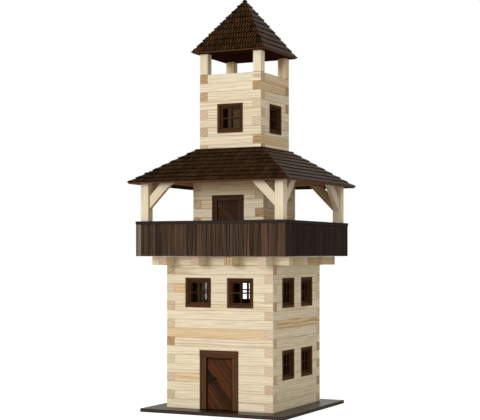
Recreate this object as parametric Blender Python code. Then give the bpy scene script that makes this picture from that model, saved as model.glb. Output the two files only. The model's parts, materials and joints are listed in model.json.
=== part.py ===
"""Toy watchtower built up from notched pine planks, with a gallery and two hipped roofs.

Metres, +Z up. The origin is the centre of the base plate's underside.
The front, with the two doors, faces -Y.
"""
import math

import bmesh
import bpy
from mathutils import Matrix, Vector

# Planks and clearances
SEAT = 0.0003            # gap between two pieces that touch
PLANK = 0.010            # thickness of a plank, and so of a wall
COURSE = 0.010           # height of one course of planks

# Base plate
BASE_THICK = 0.004
BASE_MARGIN = 0.022      # how far the plate runs out past the lower walls

# Lower body
LOWER_SIDE = 0.132
LOWER_COURSES = 16

# Joists under the gallery
JOIST_STANDOUT = 0.019   # how far the joist ends stand out of the wall
JOIST_HEIGHT = 0.010
INNER_JOIST = 0.0205     # distance of the inner joists from the middle

# Gallery
GALLERY_FLOOR = 0.004
GALLERY_LIP = 0.0025     # how far the floor runs out past the joist ends
FENCE_HEIGHT = 0.039
FENCE_BOARD = 0.0034
FENCE_CAP_HEIGHT = 0.0035
FENCE_CAP_PROUD = 0.0006
POST = 0.010             # side of the square posts
BRACE_WIDTH = 0.010
BRACE_THICK = 0.008
BRACE_REACH = 0.0307     # from the post's face to the brace's far corner

# Middle body
MIDDLE_SIDE = 0.088
MIDDLE_COURSES = 8

# Lower roof
SOFFIT_THICK = 0.002
SOFFIT_LIP = 0.0015      # how far the soffit runs out past the gallery posts
ROOF_BOARD = 0.0032
LOWER_PITCH = math.radians(34.0)
LOWER_OVERHANG = 0.0081  # how far the eave's lower edge runs out past the soffit
LEDGE = 0.0033           # level ledge where the slopes stop short of the upper walls

# Upper body
UPPER_SIDE = 0.077
UPPER_COURSES = 12

# Lookout and upper roof
LOOKOUT_HEIGHT = 0.024
CANOPY_THICK = 0.002
CANOPY_LIP = 0.0036      # how far the canopy board runs out past the posts
UPPER_PITCH = math.radians(54.5)
UPPER_OVERHANG = 0.0016
APEX_GAP = 0.0006        # width left open where the four upper boards meet

# Windows
WINDOW_WIDTH = 0.032
WINDOW_HEIGHT = 0.033
WINDOW_DEPTH = 0.009
WINDOW_PROUD = 0.0006    # how far the casing stands out of the wall
CASING = 0.0030
SASH = 0.0025
SASH_DEPTH = 0.003
SASH_RECESS = 0.0025
MUNTIN = 0.0016
WINDOW_SPREAD = 0.026    # distance of a window's middle from the wall's middle
SILL_NOTCH = 0.0033      # how far up into its course a sill sits
LOW_SILL_COURSES = 3
HIGH_SILL_COURSES = 11
TOP_SILL_COURSES = 5

# Lower door
DOOR_FRAME_WIDTH = 0.048
DOOR_FRAME_HEIGHT = 0.066
DOOR_FRAME_PROUD = 0.0008
JAMB = 0.008
LEAF_THICK = 0.004
LEAF_RECESS = 0.0035     # from the frame's face back to the leaf's face
LEAF_SIDE_GAP = 0.0005
LEAF_FOOT_GAP = 0.0008
PIN_RADIUS = 0.001
PIN_LENGTH = 0.0015
PIN_CLEARANCE = 0.0003
LOCK_WIDTH = 0.0040
LOCK_HEIGHT = 0.0095
LOCK_THICK = 0.0006
LOCK_INSET = 0.0010      # from the leaf's free edge
LOCK_ABOVE_FOOT = 0.0290
LEVER_LENGTH = 0.0080
LEVER_RADIUS = 0.0008
LEVER_STANDOFF = 0.0012
LEVER_BELOW_LOCK_TOP = 0.0020

# Upper door
UPPER_DOOR_WIDTH = 0.040
UPPER_DOOR_HEIGHT = 0.065
UPPER_JAMB = 0.0065
UPPER_DOOR_PROUD = 0.0006
UPPER_LEAF_RECESS = 0.0020

# Levels, from the ground up
WALL_FOOT = BASE_THICK
LOWER_TOP = WALL_FOOT + LOWER_COURSES * COURSE
JOIST_TOP = LOWER_TOP + JOIST_HEIGHT
DECK = JOIST_TOP + GALLERY_FLOOR
MIDDLE_TOP = DECK + MIDDLE_COURSES * COURSE
UPPER_FOOT = MIDDLE_TOP + SOFFIT_THICK
UPPER_TOP = UPPER_FOOT + UPPER_COURSES * COURSE
CANOPY = UPPER_TOP + LOOKOUT_HEIGHT
CANOPY_TOP = CANOPY + CANOPY_THICK

# Half widths that follow from the sizes above
BASE_HALF = LOWER_SIDE / 2 + BASE_MARGIN
JOIST_HALF = LOWER_SIDE / 2 + JOIST_STANDOUT
DECK_HALF = JOIST_HALF + GALLERY_LIP
SOFFIT_HALF = DECK_HALF + SOFFIT_LIP
CANOPY_HALF = UPPER_SIDE / 2 + CANOPY_LIP
FENCE_INNER = DECK_HALF + SEAT
FENCE_OUTER = FENCE_INNER + FENCE_BOARD + FENCE_CAP_PROUD

SIDES = ("front", "right", "back", "left")
CORNERS = ("front_left", "front_right", "back_right", "back_left")

# How a flat drawing is stood up: drawn across, drawn up and thickness
PLANES = {
    "XY": Matrix.Identity(4),
    "XZ": Matrix.Rotation(math.pi / 2, 4, "X"),
    "YZ": Matrix(((0, 0, 1, 0), (1, 0, 0, 0), (0, 1, 0, 0), (0, 0, 0, 1))),
}

MATERIALS = {
    "pine": ((0.79, 0.67, 0.46), 0.55),
    "window_brown": ((0.055, 0.026, 0.016), 0.45),
    "door_brown": ((0.065, 0.030, 0.018), 0.50),
    "fence_brown": ((0.045, 0.028, 0.020), 0.60),
    "roof_brown": ((0.030, 0.017, 0.011), 0.60),
    "base_brown": ((0.060, 0.038, 0.028), 0.40),
}


def clear_scene():
    for item in list(bpy.data.objects):
        bpy.data.objects.remove(item, do_unlink=True)


def make_collection(name):
    group = bpy.data.collections.new(name)
    bpy.context.scene.collection.children.link(group)
    return group


def make_material(name):
    colour, roughness = MATERIALS[name]
    material = bpy.data.materials.new(name)
    material.use_nodes = True
    shader = material.node_tree.nodes["Principled BSDF"]
    shader.inputs["Base Color"].default_value = (*colour, 1.0)
    shader.inputs["Roughness"].default_value = roughness
    shader.inputs["Metallic"].default_value = 0.0
    return material


def add_object(name, mesh):
    item = bpy.data.objects.new(name, mesh)
    tower.objects.link(item)
    return item


def rectangle(left, right, low, high):
    return [(left, low), (right, low), (right, high), (left, high)]


def slab(name, low, high):
    """A box between two corners, with its origin in its middle."""
    size = Vector(high) - Vector(low)
    shape = bmesh.new()
    bmesh.ops.create_cube(shape, size=1.0, matrix=Matrix.Diagonal((*size, 1.0)))
    mesh = bpy.data.meshes.new(name)
    shape.to_mesh(mesh)
    shape.free()
    item = add_object(name, mesh)
    item.location = (Vector(low) + Vector(high)) / 2
    return item


def prism(name, outline, depth, plane, holes=()):
    """A flat outline, less its holes, given a thickness about the drawing plane."""
    curve = bpy.data.curves.new(name, "CURVE")
    curve.dimensions = "2D"
    curve.fill_mode = "BOTH"
    curve.extrude = depth / 2
    for ring in (outline, *holes):
        spline = curve.splines.new("POLY")
        spline.points.add(len(ring) - 1)
        spline.use_cyclic_u = True
        for point, (across, up) in zip(spline.points, ring):
            point.co = (across, up, 0.0, 1.0)
    drawing = add_object(name + "_drawing", curve)
    seen = drawing.evaluated_get(bpy.context.evaluated_depsgraph_get())
    mesh = bpy.data.meshes.new_from_object(seen)
    bpy.data.objects.remove(drawing, do_unlink=True)
    bpy.data.curves.remove(curve)
    shape = bmesh.new()
    shape.from_mesh(mesh)
    bmesh.ops.remove_doubles(shape, verts=shape.verts, dist=0.00001)
    bmesh.ops.recalc_face_normals(shape, faces=shape.faces)
    bmesh.ops.transform(shape, matrix=PLANES[plane], verts=shape.verts)
    shape.to_mesh(mesh)
    shape.free()
    return add_object(name, mesh)


def rod(name, radius, start, end, sides=16):
    """A round bar between two points."""
    run = Vector(end) - Vector(start)
    shape = bmesh.new()
    bmesh.ops.create_cone(
        shape, cap_ends=True, segments=sides, radius1=radius, radius2=radius, depth=run.length
    )
    mesh = bpy.data.meshes.new(name)
    shape.to_mesh(mesh)
    shape.free()
    item = add_object(name, mesh)
    item.rotation_mode = "QUATERNION"
    item.rotation_quaternion = run.to_track_quat("Z", "Y")
    item.location = (Vector(start) + Vector(end)) / 2
    return item


def combine(item, others, operation):
    """Join others to an object, or cut them from it, and keep the result as its mesh."""
    for number, other in enumerate(others):
        step = item.modifiers.new(operation.lower() + str(number), "BOOLEAN")
        step.operation = operation
        step.solver = "EXACT"
        step.object = other
    bpy.context.view_layer.update()
    seen = item.evaluated_get(bpy.context.evaluated_depsgraph_get())
    mesh = bpy.data.meshes.new_from_object(seen)
    item.modifiers.clear()
    item.data = mesh
    for other in others:
        bpy.data.objects.remove(other, do_unlink=True)
    return item


def dress(item, material):
    item.data.materials.clear()
    item.data.materials.append(material)
    return item


def turn_to_side(item, side):
    """Carry an object made for the front round to another side of the tower."""
    item.matrix_world = Matrix.Rotation(side * math.pi / 2, 4, "Z") @ item.matrix_basis
    return item


# Notched plank walls


def comb_end(side, hand, foot, first, last):
    """The notched end of a wall, from its lowest course up: hand is -1 left, 1 right.

    Odd courses run through to the left-hand corner and even ones to the right-hand
    corner, and the planks of the next wall fill the notches between them.
    """
    points = []
    for course in range(first, last + 1):
        through = (course % 2 == 1) if hand < 0 else (course % 2 == 0)
        reach = side / 2 if through else side / 2 - PLANK - SEAT
        low = foot + (course - 1) * COURSE
        high = low + COURSE
        if through or course == first:
            low += SEAT
        if not through and course != last:
            high += SEAT
        points.append((hand * reach, low))
        points.append((hand * reach, high))
    return points


def wall_outline(side, foot, first, last, gap_width=0.0, gap_top=0.0):
    """Outline of a wall, with a notch for a door frame at its foot if one is given."""
    left = comb_end(side, -1, foot, first, last)
    right = comb_end(side, 1, foot, first, last)
    bottom = left[0][1]
    doorway = []
    if gap_width:
        half = gap_width / 2
        doorway = [(-half, bottom), (-half, gap_top), (half, gap_top), (half, bottom)]
    return left[::-1] + doorway + right


def window_hole(across, sill):
    half = WINDOW_WIDTH / 2 + SEAT
    return rectangle(across - half, across + half, sill - SEAT, sill + WINDOW_HEIGHT + SEAT)


def stand_wall(name, outline, side, holes=()):
    wall = prism(name, outline, PLANK, "XZ", holes)
    wall.location.y = -(side - PLANK) / 2
    return wall


def low_sill():
    return WALL_FOOT + LOW_SILL_COURSES * COURSE + SILL_NOTCH


def high_sill():
    return WALL_FOOT + HIGH_SILL_COURSES * COURSE + SILL_NOTCH


def top_sill():
    return UPPER_FOOT + TOP_SILL_COURSES * COURSE + SILL_NOTCH


def lower_front_wall():
    """Two short walls beside the door and one notched wall over it."""
    door_courses = int(DOOR_FRAME_HEIGHT // COURSE)
    half_gap = DOOR_FRAME_WIDTH / 2 + SEAT
    left = comb_end(LOWER_SIDE, -1, WALL_FOOT, 1, door_courses)
    right = comb_end(LOWER_SIDE, 1, WALL_FOOT, 1, door_courses)
    low, high = left[0][1], left[-1][1]
    beside_left = left[::-1] + [(-half_gap, low), (-half_gap, high)]
    beside_right = [(half_gap, high), (half_gap, low)] + right
    over = wall_outline(
        LOWER_SIDE, WALL_FOOT, door_courses + 1, LOWER_COURSES,
        2 * half_gap, WALL_FOOT + DOOR_FRAME_HEIGHT + SEAT,
    )
    holes = [window_hole(across, high_sill()) for across in (-WINDOW_SPREAD, WINDOW_SPREAD)]
    return [
        stand_wall("lower_wall_front_left", beside_left, LOWER_SIDE),
        stand_wall("lower_wall_front_right", beside_right, LOWER_SIDE),
        stand_wall("lower_wall_front_over_door", over, LOWER_SIDE, holes),
    ]


def lower_walls():
    walls = lower_front_wall()
    outline = wall_outline(LOWER_SIDE, WALL_FOOT, 1, LOWER_COURSES)
    holes = [
        window_hole(across, sill)
        for sill in (low_sill(), high_sill())
        for across in (-WINDOW_SPREAD, WINDOW_SPREAD)
    ]
    for side in (1, 2, 3):
        wall = stand_wall("lower_wall_" + SIDES[side], outline, LOWER_SIDE, holes)
        walls.append(turn_to_side(wall, side))
    return walls


def middle_walls():
    plain = wall_outline(MIDDLE_SIDE, DECK, 1, MIDDLE_COURSES)
    doored = wall_outline(
        MIDDLE_SIDE, DECK, 1, MIDDLE_COURSES,
        UPPER_DOOR_WIDTH + 2 * SEAT, DECK + UPPER_DOOR_HEIGHT + SEAT,
    )
    walls = []
    for side, name in enumerate(SIDES):
        outline = plain if side else doored
        wall = stand_wall("middle_wall_" + name, outline, MIDDLE_SIDE)
        walls.append(turn_to_side(wall, side))
    return walls


def upper_walls():
    outline = wall_outline(UPPER_SIDE, UPPER_FOOT, 1, UPPER_COURSES)
    walls = []
    for side, name in enumerate(SIDES):
        wall = stand_wall("upper_wall_" + name, outline, UPPER_SIDE, [window_hole(0.0, top_sill())])
        walls.append(turn_to_side(wall, side))
    return walls


# Windows


def window_mesh():
    """A casing round a set-back sash with four open panes, its sill at z = 0."""
    half = WINDOW_WIDTH / 2
    inner = half - CASING
    casing = prism(
        "casing", rectangle(-half, half, 0.0, WINDOW_HEIGHT), WINDOW_DEPTH, "XZ",
        [rectangle(-inner, inner, CASING, WINDOW_HEIGHT - CASING)],
    )
    casing.location.y = WINDOW_DEPTH / 2
    rim = CASING / 2
    pane = inner - SASH
    middle = WINDOW_HEIGHT / 2
    bar = MUNTIN / 2
    foot = CASING + SASH
    head = WINDOW_HEIGHT - foot
    panes = [
        rectangle(left, right, low, high)
        for left, right in ((-pane, -bar), (bar, pane))
        for low, high in ((foot, middle - bar), (middle + bar, head))
    ]
    sash = prism(
        "sash", rectangle(-half + rim, half - rim, rim, WINDOW_HEIGHT - rim), SASH_DEPTH, "XZ", panes
    )
    sash.location.y = SASH_RECESS + SASH_DEPTH / 2
    combine(casing, [sash], "UNION")
    mesh = casing.data
    mesh.transform(Matrix.Translation(casing.location))
    bpy.data.objects.remove(casing, do_unlink=True)
    return mesh


def window(name, mesh, side, across, sill, body_side):
    item = add_object(name, mesh)
    item.location = (across, -body_side / 2 - WINDOW_PROUD, sill)
    return turn_to_side(item, side)


def windows():
    mesh = window_mesh()
    made = []
    for side, name in enumerate(SIDES):
        rows = [("high", high_sill())]
        if side:
            rows.insert(0, ("low", low_sill()))
        for row, sill in rows:
            for place, across in (("left", -WINDOW_SPREAD), ("right", WINDOW_SPREAD)):
                full_name = "window_" + name + "_" + row + "_" + place
                made.append(window(full_name, mesh, side, across, sill, LOWER_SIDE))
        made.append(window("window_" + name + "_top", mesh, side, 0.0, top_sill(), UPPER_SIDE))
    return made


# Lower door


def hinge_axis():
    """Where the leaf's upright axis stands: half a leaf in from the right-hand jamb."""
    across = DOOR_FRAME_WIDTH / 2 - JAMB - LEAF_SIDE_GAP - LEAF_THICK / 2
    back = -LOWER_SIDE / 2 - DOOR_FRAME_PROUD + LEAF_RECESS + LEAF_THICK / 2
    return Vector((across, back, 0.0))


def leaf_levels():
    foot = WALL_FOOT + LEAF_FOOT_GAP
    head = WALL_FOOT + DOOR_FRAME_HEIGHT - JAMB - LEAF_SIDE_GAP
    return foot, head


def frame_outline(width, height, jamb, foot):
    """Two jambs and a head, open at the foot."""
    half = width / 2
    inner = half - jamb
    top = foot + height
    low = foot + SEAT
    return [
        (-half, low), (-inner, low), (-inner, top - jamb), (inner, top - jamb),
        (inner, low), (half, low), (half, top), (-half, top),
    ]


def lower_door_frame():
    depth = PLANK + DOOR_FRAME_PROUD
    outline = frame_outline(DOOR_FRAME_WIDTH, DOOR_FRAME_HEIGHT, JAMB, WALL_FOOT)
    frame = prism("lower_door_frame", outline, depth, "XZ")
    frame.location.y = -LOWER_SIDE / 2 - DOOR_FRAME_PROUD + depth / 2
    axis = hinge_axis()
    head = leaf_levels()[1]
    socket = rod(
        "head_socket", PIN_RADIUS + PIN_CLEARANCE,
        axis + Vector((0, 0, head)), axis + Vector((0, 0, head + PIN_LENGTH + LEAF_SIDE_GAP)),
    )
    return combine(frame, [socket], "DIFFERENCE")


def leaf_plan(length, thick, steps=8):
    """Plan of the leaf about its axis: square at the free edge, rounded at the heel."""
    radius = thick / 2
    heel = [
        (radius * math.cos(turn), radius * math.sin(turn))
        for turn in (math.pi * (step / steps - 0.5) for step in range(steps + 1))
    ]
    return [(-length, radius), (-length, -radius)] + heel


def lower_door_leaf():
    """The swinging leaf with its pins and its lever, its origin on the hinge axis."""
    foot, head = leaf_levels()
    opening = DOOR_FRAME_WIDTH - 2 * JAMB
    length = opening - 2 * LEAF_SIDE_GAP - LEAF_THICK / 2
    leaf = prism("lower_door_leaf", leaf_plan(length, LEAF_THICK), head - foot, "XY")
    leaf.location.z = (foot + head) / 2
    bury = LEAF_THICK / 4
    upper_pin = rod("upper_pin", PIN_RADIUS, (0, 0, head - bury), (0, 0, head + PIN_LENGTH))
    lower_pin = rod("lower_pin", PIN_RADIUS, (0, 0, foot - PIN_LENGTH), (0, 0, foot + bury))
    face = -LEAF_THICK / 2
    free_edge = -length
    lock_low = foot + LOCK_ABOVE_FOOT
    lock_left = free_edge + LOCK_INSET
    lock = slab(
        "lock", (lock_left, face - LOCK_THICK, lock_low),
        (lock_left + LOCK_WIDTH, face + bury, lock_low + LOCK_HEIGHT),
    )
    lever_height = lock_low + LOCK_HEIGHT - LEVER_BELOW_LOCK_TOP
    lever_depth = face - LOCK_THICK - LEVER_STANDOFF
    stem_across = lock_left + LOCK_WIDTH / 2
    stem = rod(
        "stem", LEVER_RADIUS,
        (stem_across, face, lever_height), (stem_across, lever_depth - LEVER_RADIUS / 2, lever_height),
    )
    lever = rod(
        "lever", LEVER_RADIUS,
        (stem_across - LEVER_RADIUS, lever_depth, lever_height),
        (stem_across + LEVER_LENGTH, lever_depth, lever_height),
    )
    combine(leaf, [upper_pin, lower_pin, lock, stem, lever], "UNION")
    axis = hinge_axis()
    leaf.data.transform(Matrix.Translation((0, 0, leaf.location.z)))
    leaf.location = axis
    return leaf


def upper_door():
    """The gallery door: a frame with its closed leaf, in one fixed piece."""
    depth = PLANK + UPPER_DOOR_PROUD
    outline = frame_outline(UPPER_DOOR_WIDTH, UPPER_DOOR_HEIGHT, UPPER_JAMB, DECK)
    front = -MIDDLE_SIDE / 2 - UPPER_DOOR_PROUD
    door = prism("upper_door", outline, depth, "XZ")
    door.location.y = front + depth / 2
    half = UPPER_DOOR_WIDTH / 2 - UPPER_JAMB / 2
    leaf_front = front + UPPER_LEAF_RECESS
    leaf = slab(
        "upper_leaf", (-half, leaf_front, DECK + SEAT),
        (half, leaf_front + LEAF_THICK, DECK + UPPER_DOOR_HEIGHT - UPPER_JAMB / 2),
    )
    return combine(door, [leaf], "UNION")


# Base, joists, gallery


def base_plate():
    plate = slab("base_plate", (-BASE_HALF, -BASE_HALF, 0.0), (BASE_HALF, BASE_HALF, BASE_THICK))
    axis = hinge_axis()
    foot = leaf_levels()[0]
    socket = rod(
        "foot_socket", PIN_RADIUS + PIN_CLEARANCE,
        axis + Vector((0, 0, foot - PIN_LENGTH - LEAF_SIDE_GAP)), axis + Vector((0, 0, foot)),
    )
    return combine(plate, [socket], "DIFFERENCE")


def joist_grid():
    """Eight square joists, half-lapped where they cross, their ends standing out all round."""
    outer = LOWER_SIDE / 2 - PLANK / 2
    places = (-outer, -INNER_JOIST, INNER_JOIST, outer)
    low, high = LOWER_TOP + SEAT, JOIST_TOP
    beams = []
    for place in places:
        beams.append(slab(
            "joist", (-JOIST_HALF, place - PLANK / 2, low), (JOIST_HALF, place + PLANK / 2, high)
        ))
        beams.append(slab(
            "joist", (place - PLANK / 2, -JOIST_HALF, low), (place + PLANK / 2, JOIST_HALF, high)
        ))
    grid = beams.pop(0)
    grid.name = "joist_grid"
    return combine(grid, beams, "UNION")


def gallery_floor():
    return slab(
        "gallery_floor", (-DECK_HALF, -DECK_HALF, JOIST_TOP + SEAT), (DECK_HALF, DECK_HALF, DECK)
    )


def fences():
    """Boarded parapets with a cap strip; those at front and back cover the others' ends."""
    low, high = JOIST_TOP + SEAT, JOIST_TOP + SEAT + FENCE_HEIGHT
    under_cap = high - FENCE_CAP_HEIGHT
    face = FENCE_INNER + FENCE_BOARD
    outline = [
        (-FENCE_INNER, low), (-FENCE_INNER, high), (-FENCE_OUTER, high),
        (-FENCE_OUTER, under_cap), (-face, under_cap), (-face, low),
    ]
    made = []
    for side, name in enumerate(SIDES):
        half_length = FENCE_OUTER if side % 2 == 0 else DECK_HALF
        fence = prism("fence_" + name, outline, 2 * half_length, "YZ")
        made.append(turn_to_side(fence, side))
    return made


def gallery_post(name):
    """A corner post with a raking brace along each of its two inner faces."""
    low, high = DECK + SEAT, MIDDLE_TOP
    inner = DECK_HALF - POST
    post = slab(name, (-DECK_HALF, -DECK_HALF, low), (-inner, -inner, high))
    slot = BRACE_WIDTH * math.sqrt(2.0)
    near = BRACE_REACH - slot
    root = -inner - POST / 4
    bury = POST / 4
    outline = [
        (root, high - BRACE_REACH - bury), (-inner + BRACE_REACH, high),
        (-inner + near, high), (root, high - near - bury),
    ]
    middle = -(DECK_HALF - POST / 2)
    along = prism("brace_along", outline, BRACE_THICK, "XZ")
    along.location.y = middle
    across = prism("brace_across", outline, BRACE_THICK, "YZ")
    across.location.x = middle
    return combine(post, [along, across], "UNION")


def gallery_posts():
    made = []
    for side, name in enumerate(CORNERS):
        made.append(turn_to_side(gallery_post("gallery_post_" + name), side))
    return made


# Roofs


def roof_board(name, side, profile):
    """One sloping board: its profile runs along the eave and is mitred at both hips.

    The profile's points are (distance from the tower's axis, height).
    """
    reach = max(distance for distance, _ in profile)
    outline = [(-distance, height) for distance, height in profile]
    board = prism(name, outline, 2 * reach, "YZ")
    shape = bmesh.new()
    shape.from_mesh(board.data)
    for hand in (-1, 1):
        outward = Vector((hand, 1.0, 0.0)).normalized()
        cut = bmesh.ops.bisect_plane(
            shape, geom=shape.verts[:] + shape.edges[:] + shape.faces[:],
            plane_co=-outward * SEAT / 2, plane_no=outward, clear_outer=True,
        )
        rim = [part for part in cut["geom_cut"] if isinstance(part, bmesh.types.BMEdge)]
        bmesh.ops.edgeloop_fill(shape, edges=rim)
    bmesh.ops.recalc_face_normals(shape, faces=shape.faces)
    shape.to_mesh(board.data)
    shape.free()
    return turn_to_side(board, side)


def slope_profile(carrier_half, carrier_top, overhang, pitch, inner_end, ledge=0.0):
    """Section of a roof board that lies on the edge of a flat board under it.

    With a ledge, the slope stops that far short of its inner end and runs on level.
    """
    rise = math.tan(pitch)
    lift = SEAT / math.cos(pitch)
    thick = ROOF_BOARD / math.cos(pitch)
    eave = carrier_half + overhang
    eave_height = carrier_top + lift - overhang * rise
    edge = Vector((math.sin(pitch), math.cos(pitch))) * ROOF_BOARD
    inner_height = carrier_top + lift + (carrier_half - inner_end) * rise
    slope_end = inner_end + ledge
    ledge_height = inner_height + thick - ledge * rise
    section = [
        (eave, eave_height),
        (eave + edge.x, eave_height + edge.y),
        (slope_end, ledge_height),
    ]
    if ledge:
        section.append((inner_end, ledge_height))
    section.append((inner_end, inner_height))
    return section


def lower_roof():
    soffit = slab(
        "lower_roof_soffit", (-SOFFIT_HALF, -SOFFIT_HALF, MIDDLE_TOP + SEAT),
        (SOFFIT_HALF, SOFFIT_HALF, UPPER_FOOT),
    )
    inner_end = UPPER_SIDE / 2 + SEAT
    profile = slope_profile(
        SOFFIT_HALF, UPPER_FOOT, LOWER_OVERHANG, LOWER_PITCH, inner_end, LEDGE - SEAT
    )
    boards = [roof_board("lower_roof_" + name, side, profile) for side, name in enumerate(SIDES)]
    return [soffit] + boards


def lookout_frame():
    """Four short posts on the corners of the upper body, joined by the board they carry."""
    canopy = slab(
        "lookout_frame", (-CANOPY_HALF, -CANOPY_HALF, CANOPY), (CANOPY_HALF, CANOPY_HALF, CANOPY_TOP)
    )
    outer = UPPER_SIDE / 2
    low, high = sorted((outer, outer - POST))
    posts = []
    for across in (-1, 1):
        for back in (-1, 1):
            x_low, x_high = sorted((across * low, across * high))
            y_low, y_high = sorted((back * low, back * high))
            posts.append(slab(
                "lookout_post", (x_low, y_low, UPPER_TOP + SEAT), (x_high, y_high, CANOPY + CANOPY_THICK / 2)
            ))
    return combine(canopy, posts, "UNION")


def upper_roof():
    profile = slope_profile(CANOPY_HALF, CANOPY_TOP, UPPER_OVERHANG, UPPER_PITCH, APEX_GAP)
    return [roof_board("upper_roof_" + name, side, profile) for side, name in enumerate(SIDES)]


def build():
    groups = {
        "base_brown": [base_plate()],
        "pine": (
            lower_walls() + [joist_grid(), gallery_floor()] + gallery_posts()
            + middle_walls() + upper_walls() + [lookout_frame()]
        ),
        "window_brown": windows(),
        "door_brown": [lower_door_frame(), lower_door_leaf(), upper_door()],
        "fence_brown": fences(),
        "roof_brown": lower_roof() + upper_roof(),
    }
    for slot, items in groups.items():
        material = make_material(slot)
        for item in items:
            dress(item, material)


clear_scene()
tower = make_collection("toy_tower")
build()
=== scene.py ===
"""Looks of the wooden toy tower, laid round its solid parts.

Metres, +Z up. The wall with the two doors faces -Y, and every piece is drawn as it
would stand in that front wall, then turned to its own side.
"""

import json
import math
import random
from collections import namedtuple

import bmesh
import bpy
import numpy as np
from bpy.props import FloatProperty, FloatVectorProperty, IntProperty, PointerProperty
from bpy.types import Operator, Panel, PropertyGroup
from mathutils import Matrix, Vector


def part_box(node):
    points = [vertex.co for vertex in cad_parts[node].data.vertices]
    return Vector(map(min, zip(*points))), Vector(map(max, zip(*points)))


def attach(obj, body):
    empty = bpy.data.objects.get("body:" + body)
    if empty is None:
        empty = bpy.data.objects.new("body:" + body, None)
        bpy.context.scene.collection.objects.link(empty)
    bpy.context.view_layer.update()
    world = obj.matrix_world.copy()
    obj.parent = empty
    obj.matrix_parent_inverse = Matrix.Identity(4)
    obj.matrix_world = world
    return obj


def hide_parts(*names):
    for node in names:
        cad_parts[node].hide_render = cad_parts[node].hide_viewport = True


bl_info = {
    "name": "Plank Tower",
    "version": (1, 0, 0),
    "blender": (4, 5, 0),
    "location": "View3D > Sidebar > Tower",
    "description": "Adds the planks, windows, doors, parapets and tiled roofs of a wooden toy tower",
    "category": "Add Mesh",
}

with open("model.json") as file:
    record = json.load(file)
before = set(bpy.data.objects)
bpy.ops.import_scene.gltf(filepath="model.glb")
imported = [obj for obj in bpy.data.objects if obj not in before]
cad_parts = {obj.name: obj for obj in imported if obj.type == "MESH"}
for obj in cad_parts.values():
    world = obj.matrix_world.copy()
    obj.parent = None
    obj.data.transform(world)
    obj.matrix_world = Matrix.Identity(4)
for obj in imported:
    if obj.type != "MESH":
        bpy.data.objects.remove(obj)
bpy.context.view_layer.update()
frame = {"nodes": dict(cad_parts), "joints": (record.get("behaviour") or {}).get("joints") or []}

SIDES = ("front", "right", "back", "left")
CORNERS = ("front_left", "front_right", "back_right", "back_left")
X, Y, Z = Vector((1.0, 0.0, 0.0)), Vector((0.0, 1.0, 0.0)), Vector((0.0, 0.0, 1.0))

# A gap between two parts of a piece, how far a part reaches into its neighbour, and
# what keeps a facing off the board behind it
GAP, LAP, SKIN = 0.0001, 0.0002, 0.00002

# Roundings of edges, from fine to broad
FINE, SLIGHT, SOFT, WORN, BROAD = 0.0002, 0.00025, 0.0003, 0.0004, 0.0005

# Seeds of the four sides or corners, which pick each plank's grain and tone. The middle walls' seeds and
# the upper right wall's seed were picked for warm, darker planks: in part painted shade, of the lower
# roof over the middle walls and of the upper right wall turned from the light
WALL_SEEDS = {
    "lower": (4188, 2409, 1628, 95345), "middle": (3654, 3067, 33, 34), "upper": (46213, 1047, 53, 8407),
}
POST_SEEDS = (541, 1037, 543, 544)
PARAPET_SEED, FIRST_WINDOW_SEED = 501, 285


# Settings


def length(name, description, default):
    return FloatProperty(
        name=name, description=description, default=default, min=0.0, unit="LENGTH", precision=5
    )


def angle(name, description, degrees):
    return FloatProperty(
        name=name, description=description, default=math.radians(degrees), subtype="ANGLE"
    )


def number(name, description, default):
    return FloatProperty(name=name, description=description, default=default, min=0.0)


def count(name, description, default):
    return IntProperty(name=name, description=description, default=default, min=1)


def colour(name, description, default):
    return FloatVectorProperty(
        name=name, description=description, default=default, subtype="COLOR", min=0.0, max=1.0
    )


class PlankSettings(PropertyGroup):
    lower_courses: count("Lower Courses", "Courses of planks below the gallery", 16)
    middle_courses: count("Middle Courses", "Courses of planks behind the gallery", 8)
    upper_courses: count("Upper Courses", "Courses of planks above the lower roof", 12)
    edge: length("Edge Round", "Rounding of a plank's edges", 0.00035)
    seam: length("Seam", "Gap between two courses", 0.00006)
    play: length("Play", "How far a plank may lie in or out of the wall's face", 0.00012)
    inner_joist: length("Inner Joist", "Distance of the inner joists from the middle", 0.0205)
    brace_width: length("Brace Width", "Width of the gallery posts' braces", 0.010)
    brace_thick: length("Brace Thickness", "Thickness of the gallery posts' braces", 0.0055)


class WindowSettings(PropertyGroup):
    casing: length("Casing", "Width of the casing's bars", 0.0030)
    sash: length("Sash", "Width of the sash's bars", 0.0025)
    recess: length("Recess", "How far the sash lies behind the casing's face", 0.0025)
    sash_depth: length("Sash Depth", "Depth of the sash's bars", 0.0045)
    muntin: length("Muntin", "Width of the bars between the panes", 0.0016)


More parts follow.
